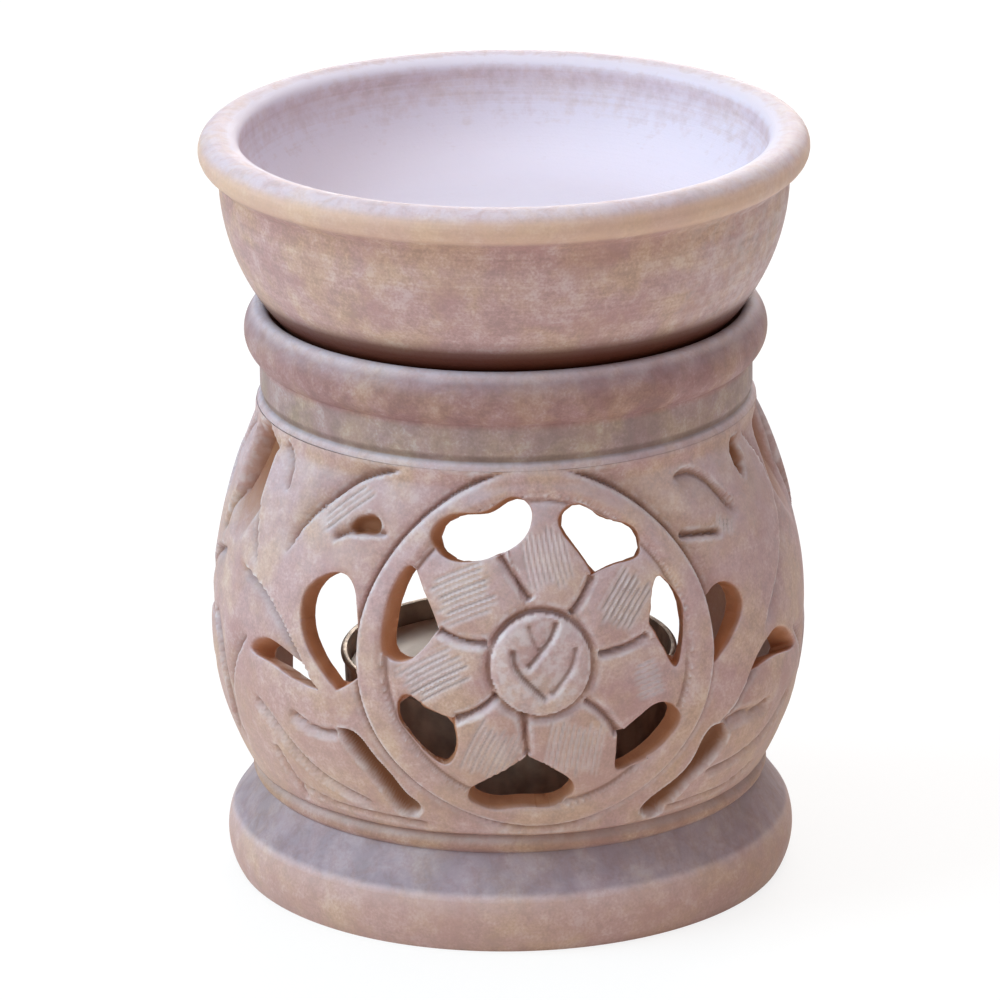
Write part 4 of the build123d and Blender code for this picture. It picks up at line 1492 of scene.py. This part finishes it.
FLOOR_REACH = 6.0
FLOOR_GLOW = 1.12
FLOOR_GLOW_SHARE = 0.72
WORLD_STRENGTH = 0.30
CAMERA_SWING = math.radians(6.2)
CAMERA_ROLL = math.radians(-0.585)
CAMERA_DISTANCE = 0.8
CAMERA_RISE = 0.315
AIM_LEVEL = 0.043
PICTURE = 1000
AXIS_PIXEL = 507.45
FOCAL_PIXELS = 7340.5
SENSOR = 36.0
# Lights: name, place and the level of the aim in metres, size, power, colour.
LIGHTS = (("key", (-0.78, -0.10, 0.62), 0.04, 0.7, 6.8, (0.65, 0.88, 1.0)),
          ("front", (-0.08, -1.0, 0.06), 0.04, 0.8, 1.8, (1.0, 0.91, 0.84)),
          ("top", (0.05, 0.05, 0.95), 0.06, 0.8, 3.7, (1.0, 0.97, 0.95)),
          ("back", (0.25, 0.85, 0.32), 0.04, 0.6, 4.2, (1.0, 0.94, 0.88)))


def floor():
    """A pale matt floor, which the camera sees white with the object's shadow on it."""
    finish = Finish(bpy.data.materials.new("pale_floor"))
    finish.feed(finish.shader, {"Base Color": linear("e9e7e6"), "Roughness": 0.9})
    glow = finish.node("ShaderNodeEmission", {"Strength": FLOOR_GLOW})
    rays = finish.node("ShaderNodeLightPath").outputs
    seen = finish.math("MAXIMUM", rays["Is Camera Ray"], rays["Is Glossy Ray"])
    seen = finish.math("MAXIMUM", seen, rays["Is Transmission Ray"])
    inputs = {0: finish.times(seen, FLOOR_GLOW_SHARE), 1: finish.shader.outputs[0],
              2: glow.outputs[0]}
    blend = finish.node("ShaderNodeMixShader", inputs)
    finish.feed(finish.tree.nodes["Material Output"], {0: blend.outputs[0]})
    mesh = bpy.data.meshes.new("floor")
    corners = [(-1, -1), (1, -1), (1, 1), (-1, 1)]
    mesh.from_pydata([(FLOOR_REACH * x, FLOOR_REACH * y, 0) for x, y in corners],
                     [], [(0, 1, 2, 3)])
    mesh.materials.append(finish.owner)
    made = new_object("floor", mesh)


def area_light(name, place, aim_level, size, power, tint):
    data = bpy.data.lights.new(name, "AREA")
    data.shape = "DISK"
    data.size = size
    data.energy = power
    data.color = tint
    made = new_object(name, data)
    made.location = place
    ahead = Vector((0, 0, aim_level)) - Vector(place)
    made.rotation_euler = ahead.to_track_quat("-Z", "Y").to_euler()


def world_light():
    """Soft light from everywhere, which the camera sees as white."""
    finish = Finish(bpy.data.worlds.new("studio"))
    rays = finish.node("ShaderNodeLightPath").outputs
    seen = finish.math("MAXIMUM", rays["Is Camera Ray"], rays["Is Transmission Ray"])
    finish.feed(finish.tree.nodes["Background"],
                {"Color": (1.0, 1.0, 1.0, 1.0),
                 "Strength": finish.spread(seen, 0.0, 1.0, WORLD_STRENGTH, 1.0)})
    bpy.context.scene.world = finish.owner


def camera():
    """The photograph's view: from in front, a little to the left and above."""
    aim = Vector((0, 0, AIM_LEVEL))
    skyward = Vector((0, 0, 1))
    place = Vector((-CAMERA_DISTANCE * math.sin(CAMERA_SWING),
                    -CAMERA_DISTANCE * math.cos(CAMERA_SWING), CAMERA_RISE))
    right = (aim - place).normalized().cross(skyward).normalized()
    # The object's axis lies a few pixels to the right of the picture's middle.
    shift = (AXIS_PIXEL - PICTURE / 2) / FOCAL_PIXELS * (aim - place).length
    ahead = (aim - right * shift - place).normalized()
    right = ahead.cross(skyward).normalized()
    up = right.cross(ahead) * math.cos(CAMERA_ROLL) - right * math.sin(CAMERA_ROLL)
    turn = Matrix((ahead.cross(up), up, -ahead)).transposed()
    data = bpy.data.cameras.new("camera")
    data.sensor_width = SENSOR
    data.lens = FOCAL_PIXELS * SENSOR / PICTURE
    made = new_object("camera", data)
    made.matrix_world = Matrix.Translation(place) @ turn.to_4x4()
    bpy.context.scene.camera = made


floor()
for light in LIGHTS:
    area_light(*light)
world_light()
camera()
bpy.context.scene.view_settings.view_transform = "Standard"
